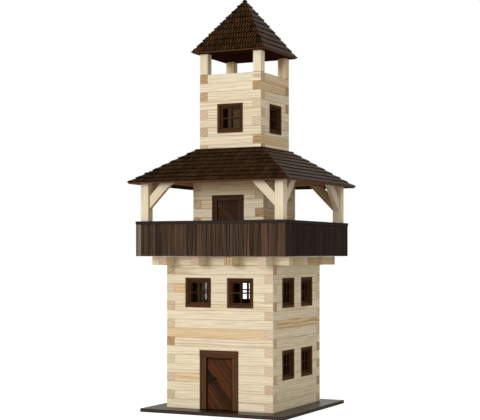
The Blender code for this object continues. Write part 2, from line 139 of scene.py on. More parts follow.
class DoorSettings(PropertyGroup):
    jamb: length("Jamb", "Width of the ground door's jambs and head", 0.008)
    leaf_thick: length("Leaf", "Thickness of the ground door's leaf", 0.004)
    leaf_gap: length("Leaf Gap", "Gap between a leaf and its jamb", 0.0005)
    foot_gap: length("Foot Gap", "Gap under the ground door's leaf", 0.0008)
    facing: length("Facing", "Thickness of the slanting boards on a leaf", 0.0012)
    board: length("Board", "Width of the slanting boards", 0.0066)
    # The dark rail stands in for the shadow of the head on the leaf: a painted shadow.
    head_shadow_rail: length("Top Rail", "Height of the dark rail over the slanting boards", 0.0018)
    slant: angle("Slant", "Slope of the boards below the level", 52.0)
    pin: length("Pin", "Radius of the hinge pins", 0.001)
    pin_length: length("Pin Length", "How far a pin stands out of the leaf", 0.0015)
    lock_width: length("Lock Width", "Width of the lock plate", 0.0045)
    lock_height: length("Lock Height", "Height of the lock plate", 0.0080)
    lock_thick: length("Lock Plate", "Thickness of the lock plate", 0.0006)
    lock_inset: length("Lock Inset", "From the leaf's free edge to the lock plate", 0.0010)
    lock_foot: length("Lock Foot", "From the leaf's foot up to the lock plate", 0.0275)
    lever: length("Lever", "Length of the lever", 0.0072)
    lever_radius: length("Lever Radius", "Radius of the lever", 0.0008)
    lever_standoff: length("Lever Standoff", "Gap between the leaf and the lever's middle", 0.0018)
    lever_drop: length("Lever Drop", "From the plate's top down to the lever", 0.0013)
    upper_jamb: length("Upper Jamb", "Width of the gallery door's jambs and head", 0.0065)
    upper_recess: length("Upper Recess", "How far the gallery door's leaf lies back", 0.002)


class ParapetSettings(PropertyGroup):
    boards: count("Boards", "Upright boards of the front parapet", 19)
    gap: length("Gap", "Gap between two boards", 0.00022)
    play: length("Play", "How far a board may lie in or out of line", 0.00018)
    cap: length("Cap", "Height of the strip along the top", 0.0035)
    cap_proud: length("Cap Proud", "How far that strip stands out", 0.0006)
    batten: length("Corner Batten", "Width of the smooth strip at the left-hand end", 0.0050)
    edging: length("Edging", "Width of the dark strip outside that one", 0.0016)


class RoofSettings(PropertyGroup):
    lower_pitch: angle("Lower Pitch", "Slope of the roof over the gallery", 34.0)
    upper_pitch: angle("Upper Pitch", "Slope of the roof over the lookout", 54.5)
    board: length("Board", "Thickness of a sloping board with its tiles", 0.0032)
    backing: length("Backing", "Thickness of the board under the tiles", 0.0020)
    exposure: length("Exposure", "Height of one row of tiles along the slope", 0.0084)
    tile: length("Tile", "Width of one tile", 0.00333)
    crown: length("Crown", "Depth of the grooves between the tiles of a row", 0.0006)
    butt: length("Butt", "Thickness of a tile at its lower edge", 0.00135)
    tail: length("Tail", "Thickness of a tile at its upper edge", 0.00025)
    turn: FloatProperty(
        name="Turn", description="How far a tile may be turned", default=0.012, subtype="ANGLE"
    )
    lift: length("Lift", "How far a tile may lie in or out of the slope", 0.0001)


class FinishSettings(PropertyGroup):
    pine_early: colour("Pine", "Pale wood between the growth lines", (0.87, 0.765, 0.57))
    pine_late: colour("Pine Growth Lines", "Darker wood of the growth lines", (0.58, 0.40, 0.20))
    pine_warm: colour("Warm Pine", "Tint of the warmest planks", (0.98, 0.84, 0.66))
    pine_end: colour("Pine End Grain", "Sawn ends of pale planks and joists", (0.78, 0.62, 0.44))
    pine_end_warm: colour("Warm End Grain", "Sawn ends of the warmest planks", (0.56, 0.37, 0.19))
    pine_end_late: colour("End Growth Lines", "Growth lines on sawn ends", (0.25, 0.125, 0.058))
    window: colour("Window Stain", "Stain of the windows", (0.060, 0.024, 0.009))
    door: colour("Door Stain", "Stain of the door frames", (0.066, 0.029, 0.013))
    leaf: colour("Leaf Stain", "Stain of the ground door's leaf", (0.054, 0.019, 0.007))
    # The gallery door's two stains are darker copies of the ground door's: painted shade of the lower
    # roof over the gallery.
    upper_door: colour("Upper Door Stain", "Stain of the gallery door's frame", (0.045, 0.020, 0.010))
    upper_leaf: colour("Upper Leaf Stain", "Stain of the gallery door's leaf", (0.038, 0.017, 0.008))
    parapet: colour("Parapet Stain", "Stain of the long parapets", (0.040, 0.0215, 0.0110))
    batten: colour("Trim Stain", "Stain of the parapets' caps and smooth strips", (0.085, 0.064, 0.048))
    # The short parapets have the long ones' wood in a darker, plainer copy: painted shade of the short
    # sides.
    side_parapet: colour("Side Parapet Stain", "Stain of the short parapets", (0.029, 0.017, 0.0125))
    roof: colour("Roof Stain", "Stain of the long roof slopes", (0.068, 0.036, 0.0150))
    side_roof: colour("Side Roof Stain", "Stain of the short roof slopes", (0.064, 0.032, 0.0135))
    roof_board: colour("Roof Board Stain", "Stain of the boards under the tiles", (0.035, 0.0142, 0.0076))
    # The soffit's stain is made paler than its wood alone, partly to stand in for light bounced up from
    # the floor: painted light.
    soffit: colour("Soffit Stain", "Stain of the board under the lower roof", (0.32, 0.195, 0.12))
    lookout: colour("Lookout Stain", "Stain of the board over the lookout", (0.032, 0.011, 0.006))
    base: colour("Base Stain", "Stain of the base plate", (0.024, 0.010, 0.005))
    iron: colour("Iron", "Lock plate and lever", (0.011, 0.007, 0.004))


class StageSettings(PropertyGroup):
    distance: length("Camera Distance", "From the tower's axis to the camera", 1.45205)
    height: length("Camera Height", "Height of the level camera", 0.1762)
    swing: angle("Camera Swing", "How far the camera stands round to the right", 25.84)
    focal: number("Focal Length", "Focal length on a 36 mm frame", 94.51)
    key: number("Key", "Strength of the key light", 1.3)
    fill: number("Fill", "Strength of the even light all round", 0.74)
    room: number("Room", "Brightness of the room in reflections", 0.10)
    sweep: number("Sweep", "Brightness of the sweep in reflections", 1.0)


class TowerSettings(PropertyGroup):
    planks: PointerProperty(type=PlankSettings)
    windows: PointerProperty(type=WindowSettings)
    doors: PointerProperty(type=DoorSettings)
    parapet: PointerProperty(type=ParapetSettings)
    roofs: PointerProperty(type=RoofSettings)
    finish: PointerProperty(type=FinishSettings)
    stage: PointerProperty(type=StageSettings)


def settings():
    return bpy.context.scene.plank_tower


# Node trees


class Nodes:
    """A node tree with short ways to add to it."""

    def __init__(self, tree):
        self.tree = tree

    def feed(self, socket, value):
        """Link a socket to another one, or set its value."""
        if isinstance(value, bpy.types.NodeSocket):
            self.tree.links.new(value, socket)
        else:
            socket.default_value = value

    def add(self, kind, inputs=None, **options):
        """Add a node with its options and its inputs."""
        made = self.tree.nodes.new(kind)
        for name, value in options.items():
            setattr(made, name, value)
        for key, value in (inputs or {}).items():
            self.feed(made.inputs[key], value)
        return made

    def out(self, kind, inputs=None, **options):
        """First output of a new node."""
        return self.add(kind, inputs, **options).outputs[0]

    def math(self, operation, *values):
        return self.out("ShaderNodeMath", dict(enumerate(values)), operation=operation)

    def times(self, first, second):
        return self.math("MULTIPLY", first, second)

    def times_plus(self, first, second, third):
        return self.math("MULTIPLY_ADD", first, second, third)

    def less(self, first, second):
        return self.math("SUBTRACT", first, second)

    def vector(self, x=0.0, y=0.0, z=0.0):
        return self.out("ShaderNodeCombineXYZ", {0: x, 1: y, 2: z})

    def scaled(self, first, factor):
        return self.out("ShaderNodeVectorMath", {0: first, 3: factor}, operation="SCALE")

    def blend(self, amount, first, second, mode="MIX"):
        """Mix of two colours."""
        inputs = {0: amount, 6: first, 7: second}
        return self.add("ShaderNodeMix", inputs, data_type="RGBA", blend_type=mode).outputs[2]

    def spread(self, value, low, high, new_low=0.0, new_high=1.0):
        """Map a range of a value to another one, smoothly and clamped."""
        inputs = {0: value, 1: low, 2: high, 3: new_low, 4: new_high}
        return self.out("ShaderNodeMapRange", inputs, interpolation_type="SMOOTHSTEP")

    def noise(self, spot, scale, detail, roughness=0.5):
        inputs = {"Vector": spot, "Scale": scale, "Detail": detail, "Roughness": roughness}
        return self.out("ShaderNodeTexNoise", inputs)

    def jitter(self, amount, seed):
        """A random number between -amount and amount for each point."""
        inputs = {2: self.times(amount, -1.0), 3: amount, 8: seed}
        return self.add("FunctionNodeRandomValue", inputs, data_type="FLOAT").outputs[1]

    def moved(self, points, offset):
        return self.out("GeometryNodeSetPosition", {"Geometry": points, "Offset": offset})

    def end(self, result, points, piece, material, **more):
        """Set a piece on every point, make the pieces real and give them their material."""
        laid = self.out("GeometryNodeInstanceOnPoints", {"Points": points, "Instance": piece, **more})
        real = self.out("GeometryNodeRealizeInstances", {0: laid})
        done = self.out("GeometryNodeSetMaterial", {"Geometry": real, "Material": material})
        self.feed(result.inputs[0], done)
        return self.tree

    def end_row(self, result, material, start, step, number, offset, size):
        """Boxes along a line, each at its own offset."""
        inputs = {"Count": number, "Start Location": start, "Offset": step}
        line = self.out("GeometryNodeMeshLine", inputs, mode="OFFSET")
        box = self.out("GeometryNodeMeshCube", {"Size": size})
        return self.end(result, self.moved(line, offset), box, material)


SOCKET_KINDS = {int: "NodeSocketInt", float: "NodeSocketFloat", tuple: "NodeSocketVector"}
GEOMETRY, MATERIAL, OBJECT = "NodeSocketGeometry", "NodeSocketMaterial", "NodeSocketObject"


def new_group(name, kind, inputs, outputs):
    """An empty node group, its inputs and its last node.

    A socket is given by its default, or by its kind where it has none.
    """
    tree = bpy.data.node_groups.new(name, kind)
    for direction, sockets in (("INPUT", inputs), ("OUTPUT", outputs)):
        for label, default in sockets.items():
            known = SOCKET_KINDS.get(type(default))
            socket = tree.interface.new_socket(label, in_out=direction, socket_type=known or default)
            if known:
                socket.default_value = default
    return Nodes(tree), tree.nodes.new("NodeGroupInput").outputs, tree.nodes.new("NodeGroupOutput")


def course_tree():
    """Courses of planks that reach the left and the right corner by turns."""
    nodes, given, result = new_group("Plank Courses", "GeometryNodeTree", {
        "Courses": 16, "Course Height": 0.01, "Plank Length": 0.12, "Plank Thickness": 0.01,
        "Seam": 0.0001, "Shift": 0.005, "Foot": (0.0, 0.0, 0.0), "Play": 0.0001, "Seed": 1,
        "Finish": MATERIAL,
    }, {"Planks": GEOMETRY})
    course = given["Course Height"]
    half = nodes.vector(z=nodes.times(course, 0.5))
    start = nodes.out("ShaderNodeVectorMath", {0: given["Foot"], 1: half}, operation="ADD")
    index = nodes.out("GeometryNodeInputIndex")
    by_turns = nodes.times_plus(nodes.math("MODULO", index, 2.0), 2.0, -1.0)
    across = nodes.times(by_turns, given["Shift"])
    offset = nodes.vector(across, nodes.jitter(given["Play"], given["Seed"]))
    height = nodes.less(course, given["Seam"])
    size = nodes.vector(given["Plank Length"], given["Plank Thickness"], height)
    return nodes.end_row(
        result, given["Finish"], start, nodes.vector(z=course), given["Courses"], offset, size
    )


def board_tree():
    """Upright boards side by side, each a little in or out of line."""
    nodes, given, result = new_group("Upright Boards", "GeometryNodeTree", {
        "Boards": 19, "Pitch": 0.0096, "Gap": 0.0002, "Thickness": 0.003, "Height": 0.035,
        "Start": (0.0, 0.0, 0.0), "Play": 0.0001, "Seed": 1, "Finish": MATERIAL,
    }, {"Boards": GEOMETRY})
    offset = nodes.vector(y=nodes.jitter(given["Play"], given["Seed"]))
    width = nodes.less(given["Pitch"], given["Gap"])
    size = nodes.vector(width, given["Thickness"], given["Height"])
    step = nodes.vector(given["Pitch"])
    return nodes.end_row(
        result, given["Finish"], given["Start"], step, given["Boards"], offset, size
    )


def tile_tree():
    """Rows of tiles on a slope that narrows upwards, each row half a tile across."""
    nodes, given, result = new_group("Tile Rows", "GeometryNodeTree", {
        "Tile": OBJECT, "Columns": 60, "Rows": 8, "Width": 0.0033, "Exposure": 0.0086,
        "Eave Half": 0.098, "Narrowing": 0.8, "Turn": 0.01, "Lift": 0.0001, "Seed": 1,
        "Finish": MATERIAL,
    }, {"Tiles": GEOMETRY})
    width, exposure, seed = given["Width"], given["Exposure"], given["Seed"]
    up = nodes.times(nodes.less(given["Rows"], 1.0), exposure)
    grid = nodes.out("GeometryNodeMeshGrid", {
        "Size X": nodes.times(nodes.less(given["Columns"], 1.0), width), "Size Y": up,
        "Vertices X": given["Columns"], "Vertices Y": given["Rows"],
    })
    raised = nodes.moved(grid, nodes.vector(y=nodes.times(up, 0.5)))
    x, y, _ = nodes.add("ShaderNodeSeparateXYZ", {0: nodes.out("GeometryNodeInputPosition")}).outputs
    row = nodes.math("ROUND", nodes.math("DIVIDE", y, exposure))
    stagger = nodes.times(nodes.math("MODULO", row, 2.0), nodes.times(width, 0.5))
    staggered = nodes.moved(raised, nodes.vector(stagger, z=nodes.jitter(given["Lift"], seed)))
    reach = nodes.less(given["Eave Half"], nodes.times(y, given["Narrowing"]))
    outside = nodes.out(
        "FunctionNodeCompare", {0: nodes.math("ABSOLUTE", x), 1: nodes.math("ADD", reach, width)},
        data_type="FLOAT", operation="GREATER_THAN",
    )
    kept = nodes.out(
        "GeometryNodeDeleteGeometry", {"Geometry": staggered, "Selection": outside}, domain="POINT"
    )
    tile = nodes.add("GeometryNodeObjectInfo", {"Object": given["Tile"]}).outputs["Geometry"]
    turn = nodes.vector(z=nodes.jitter(given["Turn"], nodes.math("ADD", seed, 1.0)))
    return nodes.end(result, kept, tile, given["Finish"], Rotation=turn)


def fetch(name, maker):
    """A node group that is built once and shared."""
    return bpy.data.node_groups.get(name) or maker()


def grown(tree, values, edge=0.0, cutter=None):
    """Plain mesh of what a node tree makes, with its edges rounded and its holes cut."""
    item = new_object("grown", bpy.data.meshes.new("grown"))
    step = item.modifiers.new("rows", "NODES")
    step.node_group = tree
    for socket in tree.interface.items_tree:
        if socket.in_out == "INPUT":
            step[socket.identifier] = values[socket.name]
    if edge:
        rounded = item.modifiers.new("edges", "BEVEL")
        rounded.width, rounded.segments, rounded.limit_method = edge, 2, "ANGLE"
    if cutter:
        cut = item.modifiers.new("holes", "BOOLEAN")
        cut.operation, cut.solver, cut.object = "DIFFERENCE", "EXACT", cutter
    bpy.context.view_layer.update()
    seen = item.evaluated_get(bpy.context.evaluated_depsgraph_get())
    mesh = bpy.data.meshes.new_from_object(seen)
    item.modifiers.clear()
    bpy.data.objects.remove(item, do_unlink=True)
    return mesh


# Finishes


def figure_group():
    """Growth lines, fibres and slow drift of a piece of timber, from its own grain."""
    nodes, given, result = new_group("Timber Figure", "ShaderNodeTree", {
        "Grain": (0.0, 0.0, 0.0), "Ring Width": 0.002, "Wobble": 0.002, "Fibre Width": 0.0006,
    }, {"Rings": 0.0, "Fibres": 0.0, "Drift": 0.0})
    along, across, up = nodes.add("ShaderNodeSeparateXYZ", {0: given["Grain"]}).outputs
    drawn = nodes.vector(nodes.times(along, 0.16), across, up)
    sway = nodes.less(nodes.noise(drawn, 70.0, 2.0, 0.45), 0.5)
    squares = nodes.math("ADD", nodes.math("POWER", across, 2.0), nodes.math("POWER", up, 2.0))
    radius = nodes.math("ADD", nodes.math("SQRT", squares), nodes.times(sway, given["Wobble"]))
    uneven = nodes.noise(nodes.vector(radius), 260.0, 0.0)
    lines = nodes.times_plus(uneven, 1.6, nodes.math("DIVIDE", radius, given["Ring Width"]))
    phase = nodes.math("FRACT", lines)
    thread = nodes.vector(nodes.times(along, 0.03), across, up)
    fibres = nodes.noise(thread, nodes.math("DIVIDE", 1.0, given["Fibre Width"]), 3.0, 0.6)
    found = {
        "Rings": nodes.times(nodes.spread(phase, 0.35, 0.88), nodes.spread(phase, 0.90, 1.0, 1.0, 0.0)),
        "Fibres": nodes.spread(fibres, 0.32, 0.68),
        "Drift": nodes.spread(nodes.noise(drawn, 24.0, 1.0), 0.35, 0.65),
    }
    for name, value in found.items():
        nodes.feed(result.inputs[name], value)
    return nodes.tree


def opaque(tint, factor=1.0):
    """A colour made lighter or darker, for a socket."""
    return (*(min(1.0, part * factor) for part in tint), 1.0)


def begin_material(name):
    """A material with its nodes and its surface shader."""
    material = bpy.data.materials.new(name)
    material.use_nodes = True
    return material, Nodes(material.node_tree), material.node_tree.nodes["Principled BSDF"]


def timber_marks(nodes, rings, wobble, fibre):
    """Tone, sawn ends and edges of a piece, then its growth lines, fibres and drift."""
    grain = nodes.add("ShaderNodeAttribute", attribute_name="grain").outputs["Vector"]
    marks = [
        nodes.add("ShaderNodeAttribute", attribute_name=name).outputs["Fac"]
        for name in ("tone", "end", "edge")
    ]
    inputs = {"Grain": grain, "Ring Width": rings, "Wobble": wobble, "Fibre Width": fibre}
    group = fetch("Timber Figure", figure_group)
    return *marks, *nodes.add("ShaderNodeGroup", inputs, node_tree=group).outputs


def surface(nodes, shader, tint, rough, gloss, height, bump, relief):
    """Feed a surface shader, with bumps of a given strength and depth."""
    bumps = nodes.out("ShaderNodeBump", {"Strength": bump, "Distance": relief, "Height": height})
    inputs = {"Base Color": tint, "Roughness": rough, "Specular IOR Level": gloss, "Normal": bumps}
    for name, value in inputs.items():
        nodes.feed(shader.inputs[name], value)


def pine_material(wanted):
    """Bare planed pine: cream wood, tan growth lines, and darker sawn ends."""
    material, nodes, shader = begin_material("bare_pine")
    tone, end, edge, rings, fibres, drift = timber_marks(nodes, 0.0020, 0.0045, 0.0008)
    late = opaque(wanted.pine_late)
    deep = nodes.spread(tone, 0.0, 1.0, 0.42, 0.80)
    drifted = nodes.times(deep, nodes.spread(drift, 0.0, 1.0, 0.55, 1.2))
    face = nodes.blend(nodes.times(rings, drifted), opaque(wanted.pine_early), late)
    warm = nodes.blend(1.0, face, opaque(wanted.pine_warm), "MULTIPLY")
    face = nodes.blend(nodes.spread(tone, 0.55, 1.0, 0.0, 0.9), face, warm)
    shade = nodes.times_plus(fibres, 0.24, 0.86)
    face = nodes.scaled(face, nodes.times(shade, nodes.times_plus(tone, -0.08, 1.03)))
    warmth = nodes.spread(tone, 0.3, 0.9)
    cut = nodes.blend(warmth, opaque(wanted.pine_end), opaque(wanted.pine_end_warm))
    bold = nodes.times(rings, nodes.spread(tone, 0.2, 0.9, 0.35, 1.0))
    whole = nodes.blend(end, face, nodes.blend(bold, cut, opaque(wanted.pine_end_late)))
    # Rounded plank edges are darkened towards the growth-line colour: dirt and painted shade in the seams
    # between planks.
    edge_wear_dirt_and_painted_light = nodes.blend(nodes.times(edge, 0.24), whole, late)
    rough = nodes.times_plus(fibres, 0.12, 0.52)
    height = nodes.math("ADD", nodes.times(rings, 0.6), fibres)
    surface(nodes, shader, edge_wear_dirt_and_painted_light, rough, 0.3, height, 0.4, 0.00012)
    return material


def stained_material(name, stain, look):
    """Stained wood. The look holds its figure, cast, relief, roughness and its edge tint: pale rubbing on
    most pieces, a painted highlight on the window splays, and painted shade on the roofs.
    """
    material, nodes, shader = begin_material(name)
    figure = timber_marks(nodes, look["rings"], look["wobble"], look["fibre"])
    tone, end, edge, rings, fibres, drift = figure
    streak = nodes.math("ADD", nodes.times(rings, 0.55), nodes.times(fibres, 0.45))
    light = opaque(stain, 1.0 + 1.3 * look["contrast"])
    body = nodes.blend(streak, light, opaque(stain, 1.0 - look["contrast"]))
    value = nodes.times_plus(tone, look["spread"], 1.0 - look["spread"] / 2)
    drifted = nodes.times(value, nodes.spread(drift, 0.0, 1.0, 0.88, 1.12))
    cast = nodes.blend(drift, (0.92, 1.04, 0.82, 1.0), (1.22, 0.93, 0.72, 1.0))
    body = nodes.blend(look["cast"], body, nodes.blend(1.0, body, cast, "MULTIPLY"))
    # Marked edges go towards the edge colour: pale rubbing on most pieces, a painted highlight on the
    # window splays, and near-black painted shade in the roof's grooves, under the tiles' butts and on the
    # roof board's face under the tiles.
    rub_and_painted_light_mask = nodes.times(edge, nodes.times_plus(fibres, 0.5, 0.5))
    pale = opaque(stain, look["rub_and_painted_light_tint"])
    edge_wear_dirt_and_painted_light = nodes.blend(nodes.times(rub_and_painted_light_mask, look["rub_and_painted_light_amount"]), nodes.scaled(body, drifted), pale)
    sawn = nodes.blend(nodes.times(end, look["end"]), edge_wear_dirt_and_painted_light, opaque(stain, look["sawn"]))
    rough = nodes.times_plus(fibres, 0.14, look["rough"] - 0.05)
    height = nodes.less(nodes.times(fibres, 0.6), rings)
    surface(nodes, shader, sawn, rough, look["gloss"], height, look["bump"], look["relief"])
    return material


def iron_material(iron):
    """Dull dark iron with faint hammering."""
    material, nodes, shader = begin_material("iron")
    spot = nodes.add("ShaderNodeTexCoord").outputs["Object"]
    mottle = nodes.noise(spot, 900.0, 3.0)
    tint = nodes.blend(mottle, opaque(iron), opaque(iron, 2.5))
    surface(nodes, shader, tint, nodes.times_plus(mottle, 0.2, 0.45), 0.06, mottle, 0.4, 0.0001)
    return material


PLAIN_LOOK = {
    "rings": 0.0022, "wobble": 0.003, "fibre": 0.0007, "contrast": 0.35, "spread": 0.25,
    "cast": 0.0, "rub_and_painted_light_tint": 2.2, "rub_and_painted_light_amount": 0.55, "sawn": 2.2, "end": 0.2, "rough": 0.45,
    "gloss": 0.04, "bump": 0.5, "relief": 0.00015,
}
LOOKS = {
    # The window's wide tone spread makes its low-toned sash and muntins dark, painted shade of the
    # recess; its paled splays are rubbing and a painted highlight.
    "window": dict(spread=1.4, rub_and_painted_light_tint=2.6, rub_and_painted_light_amount=0.6),
    "door": dict(contrast=0.4),
    "upper_door": dict(contrast=0.4),
    "leaf": dict(contrast=0.9, rings=0.0024, fibre=0.0013, spread=0.2, cast=0.5),
    "upper_leaf": dict(contrast=0.6, rings=0.0016, spread=0.6, cast=0.3),
    "parapet": dict(
        contrast=0.9, rings=0.0034, wobble=0.008, fibre=0.0020, spread=0.3, cast=0.35,
        bump=0.9, relief=0.0004, rough=0.42, gloss=0.12,
    ),
    # A darker, plainer copy of the long parapets' look: painted shade.
    "side_parapet": dict(contrast=0.25, rub_and_painted_light_amount=0.2, rough=0.5),
    "batten": dict(contrast=0.2, spread=1.8, rub_and_painted_light_amount=0.0, rough=0.42, gloss=0.10),
    # On the roofs the edge tint is near black: painted shade in the grooves and under the tiles' butts,
    # fainter on the short slopes.
    "roof": dict(contrast=0.5, spread=1.1, cast=1.0, rub_and_painted_light_tint=0.01, rub_and_painted_light_amount=2.2, rough=0.5, gloss=0.04),
    "side_roof": dict(contrast=0.4, spread=0.9, cast=1.0, rub_and_painted_light_tint=0.04, rub_and_painted_light_amount=1.8, rough=0.42, gloss=0.2),
    "roof_board": dict(contrast=0.3, rub_and_painted_light_tint=0.25, rub_and_painted_light_amount=1.0, sawn=4.2, end=1.0, rough=0.8, gloss=0.0),
    "soffit": dict(contrast=0.3, rough=0.8, gloss=0.0),
    "lookout": dict(contrast=0.3, rough=0.8, gloss=0.0),
    "base": dict(contrast=0.25, rough=0.32, bump=0.12, rub_and_painted_light_amount=0.1, gloss=0.25),
}


def finish(name):
    """The named finish, made when it is first asked for."""
    found = bpy.data.materials.get(name)
    if found:
        return found
    wanted = settings().finish
    if name == "bare_pine":
        return pine_material(wanted)
    if name == "iron":
        return iron_material(wanted.iron)
    stain = name.removesuffix("_stain")
    return stained_material(name, getattr(wanted, stain), {**PLAIN_LOOK, **LOOKS[stain]})


# Shapes


def add_box(shape, low, high, deeper=1.0):
    """Add a box between two corners to a shape, if wanted deeper than they say."""
    size, middle = high - low, (high + low) / 2
    room = Matrix.Translation(middle) @ Matrix.Diagonal((size.x, deeper * size.y, size.z, 1.0))
    bmesh.ops.create_cube(shape, size=1.0, matrix=room)


def block(low, high):
    """A box between two corners."""
    shape = bmesh.new()
    add_box(shape, Vector(low), Vector(high))
    return shape


def prism(outline, start, depth):
    """A flat outline, as points in space, drawn out along a vector."""
    shape = bmesh.new()
    near = [shape.verts.new(Vector(point) + start) for point in outline]
    drawn = bmesh.ops.extrude_face_region(shape, geom=[shape.faces.new(near)])
    moved = [part for part in drawn["geom"] if isinstance(part, bmesh.types.BMVert)]
    bmesh.ops.translate(shape, vec=depth, verts=moved)
    bmesh.ops.recalc_face_normals(shape, faces=shape.faces)
    return shape


def pin(radius, start, end, sides=20):
    """A round bar between two points."""
    run = Vector(end) - Vector(start)
    turn = run.to_track_quat("Z", "Y").to_matrix().to_4x4()
    shape = bmesh.new()
    bmesh.ops.create_cone(
        shape, cap_ends=True, segments=sides, radius1=radius, radius2=radius, depth=run.length,
        matrix=Matrix.Translation((Vector(start) + Vector(end)) / 2) @ turn,
    )
    return shape


def mitred_bar(section, corner, across, inward, run):
    """A bar of a frame, mitred at both ends.

    The section's points are (distance in from the frame's outer edge, depth), the corner
    is the frame's outer corner at the bar's start, and run is the frame's outer side.
    """
    shape = bmesh.new()
    near, far = (
        [
            shape.verts.new(corner + across * reach(inset) + inward * inset + Y * back)
            for inset, back in section
        ]
        for reach in (lambda inset: inset, lambda inset: run - inset)
    )
    shape.faces.new(near)
    shape.faces.new(far[::-1])
    for here in range(len(section)):
        after = (here + 1) % len(section)
        shape.faces.new((near[here], far[here], far[after], near[after]))
    bmesh.ops.recalc_face_normals(shape, faces=shape.faces)
    return shape


def frame_bars(section, low, high, depth):
    """The four mitred bars of an upright frame, as (solid, direction of its grain)."""
    width, height = high[0] - low[0], high[1] - low[1]
    bars = (
        (low[0], low[1], X, Z, width), (high[0], low[1], Z, -X, height),
        (high[0], high[1], -X, -Z, width), (low[0], high[1], -Z, X, height),
    )
    return [
        (mitred_bar(section, Vector((x, depth, z)), across, inward, run), across)
        for x, z, across, inward, run in bars
    ]


def clipped(outline, point, normal):
    """The part of a flat outline on the side of a line that its normal points away from."""
    kept = []
    for here, after in zip(outline, outline[1:] + outline[:1]):
        inside = (Vector(here) - point).dot(normal)
        beyond = (Vector(after) - point).dot(normal)
        if inside <= 0.0:
            kept.append(tuple(here))
        if (inside < 0.0 < beyond) or (beyond < 0.0 < inside):
            part = inside / (inside - beyond)
            kept.append(tuple(Vector(here).lerp(Vector(after), part)))
    return kept


def area_of(outline):
    """Area inside a flat outline."""
    sides = zip(outline, outline[1:] + outline[:1])
    return 0.5 * abs(sum(a[0] * b[1] - b[0] * a[1] for a, b in sides))


def mesh_of(shape):
    """Mesh of a finished shape."""
    mesh = bpy.data.meshes.new("finished")
    shape.to_mesh(mesh)
    shape.free()
    return mesh


class Timber:
    """Solids gathered into one mesh, each with a run of grain and a tone of its own."""

    def __init__(self, seed):
        self.shape = bmesh.new()
        self.chance = random.Random(seed)

    def add(self, part, along, edge=FINE, tone=None):
        """Round a solid's edges, lay its grain along a direction and add it."""
        if edge:
            bmesh.ops.bevel(
                part, geom=part.edges[:], offset=edge, segments=2, affect="EDGES",
                profile=0.5, clamp_overlap=True,
            )
        part.normal_update()
        mesh = mesh_of(part)
        lay_grain(mesh, along, self.chance, tone)
        self.shape.from_mesh(mesh)
        bpy.data.meshes.remove(mesh)


def triad(along):
    """Grain direction and two directions across it."""
    along = Vector(along).normalized()
    across = along.cross(Y)
    if across.length < 0.1:
        across = along.cross(Z)
    across.normalize()
    return along, across, along.cross(across)


def rows_of(items, name):
    """A vector of every vertex or face of a mesh, one to a row."""
    found = np.empty(len(items) * 3)
    items.foreach_get(name, found)
    return found.reshape(-1, 3)


def store(mesh, name, kind, domain, values):
    layer = mesh.attributes.get(name) or mesh.attributes.new(name, kind, domain)
    key = "vector" if kind == "FLOAT_VECTOR" else "value"
    layer.data.foreach_set(key, np.ascontiguousarray(values, dtype=np.float32).ravel())


def store_grain(mesh, grain, tone):
    store(mesh, "grain", "FLOAT_VECTOR", "POINT", grain)
    store(mesh, "tone", "FLOAT", "POINT", tone)


# How squarely a face looks along the grain to be a sawn end, and how squarely across or
# along it not to be an edge. Reach of a log's heart, and the length of a log.
END_FACING, FLAT_FACING = 0.9, 0.985
HEART_REACH, LOG_LENGTH = (0.012, 0.055), 3.0


def mark_faces(mesh, axes):
    """Mark sawn ends, which face along the grain, and the narrow faces of rounded edges."""
    facing = np.abs(rows_of(mesh.polygons, "normal") @ np.array(axes).T)
    store(mesh, "end", "FLOAT", "FACE", (facing[:, 0] > END_FACING).astype(float))
    store(mesh, "edge", "FLOAT", "FACE", (facing.max(axis=1) < FLAT_FACING).astype(float))


def grain_start(chance):
    """A place along the log, and where the log's heart lies beside the piece."""
    reach, turn = chance.uniform(*HEART_REACH), chance.uniform(0.0, 2.0 * math.pi)
    along = chance.uniform(0.0, LOG_LENGTH)
    return np.array((along, reach * math.cos(turn), reach * math.sin(turn)))


def lay_grain(mesh, along, chance, tone=None):
    """Give a mesh of one solid its grain coordinates, tone and face marks."""
    axes = triad(along)
    spots = rows_of(mesh.vertices, "co")
    middle = (spots.min(axis=0) + spots.max(axis=0)) / 2
    local = (spots - middle) @ np.array(axes).T
    local += grain_start(chance)
    shade = chance.random() if tone is None else tone
    store_grain(mesh, local, np.full(len(spots), shade))
    mark_faces(mesh, axes)


def lay_pieces(grain, keys, chance):
    """Start the grain of every piece afresh, and return the pieces' tones."""
    tone = np.empty(len(keys))
    for key in np.unique(keys):
        here = keys == key
        grain[here] += grain_start(chance)
        tone[here] = chance.random()
    return tone


def new_object(name, data):
    item = bpy.data.objects.new(name, data)
    bpy.context.scene.collection.objects.link(item)
    return item


def put(name, mesh, material, nodes=(), side=0, body="tower"):
    """Turn a finished mesh to its side, dress it and stand it in for its solids."""
    if isinstance(mesh, Timber):
        mesh = mesh_of(mesh.shape)
    if side:
        mesh.transform(Matrix.Rotation(side * math.pi / 2, 4, "Z"))
    mesh.name = name
    mesh.materials.clear()
    mesh.materials.append(finish(material))
    item = new_object(name, mesh)
    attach(item, body)
    if nodes:
        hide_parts(*nodes)
    return item


def front_box(node, side=0):
    """Corners of a solid, turned from its side to the front."""
    turn = Matrix.Rotation(-side * math.pi / 2, 4, "Z")
    first, second = (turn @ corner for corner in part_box(node))
    return Vector(map(min, first, second)), Vector(map(max, first, second))


def flat_board(name, node, material, seed, box=None, edge=SOFT, tone=0.5):
    """A piece that is one flat board."""
    timber = Timber(seed)
    timber.add(block(*(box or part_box(node))), X, edge, tone)
    put(name, timber, material, [node])


# Plank walls

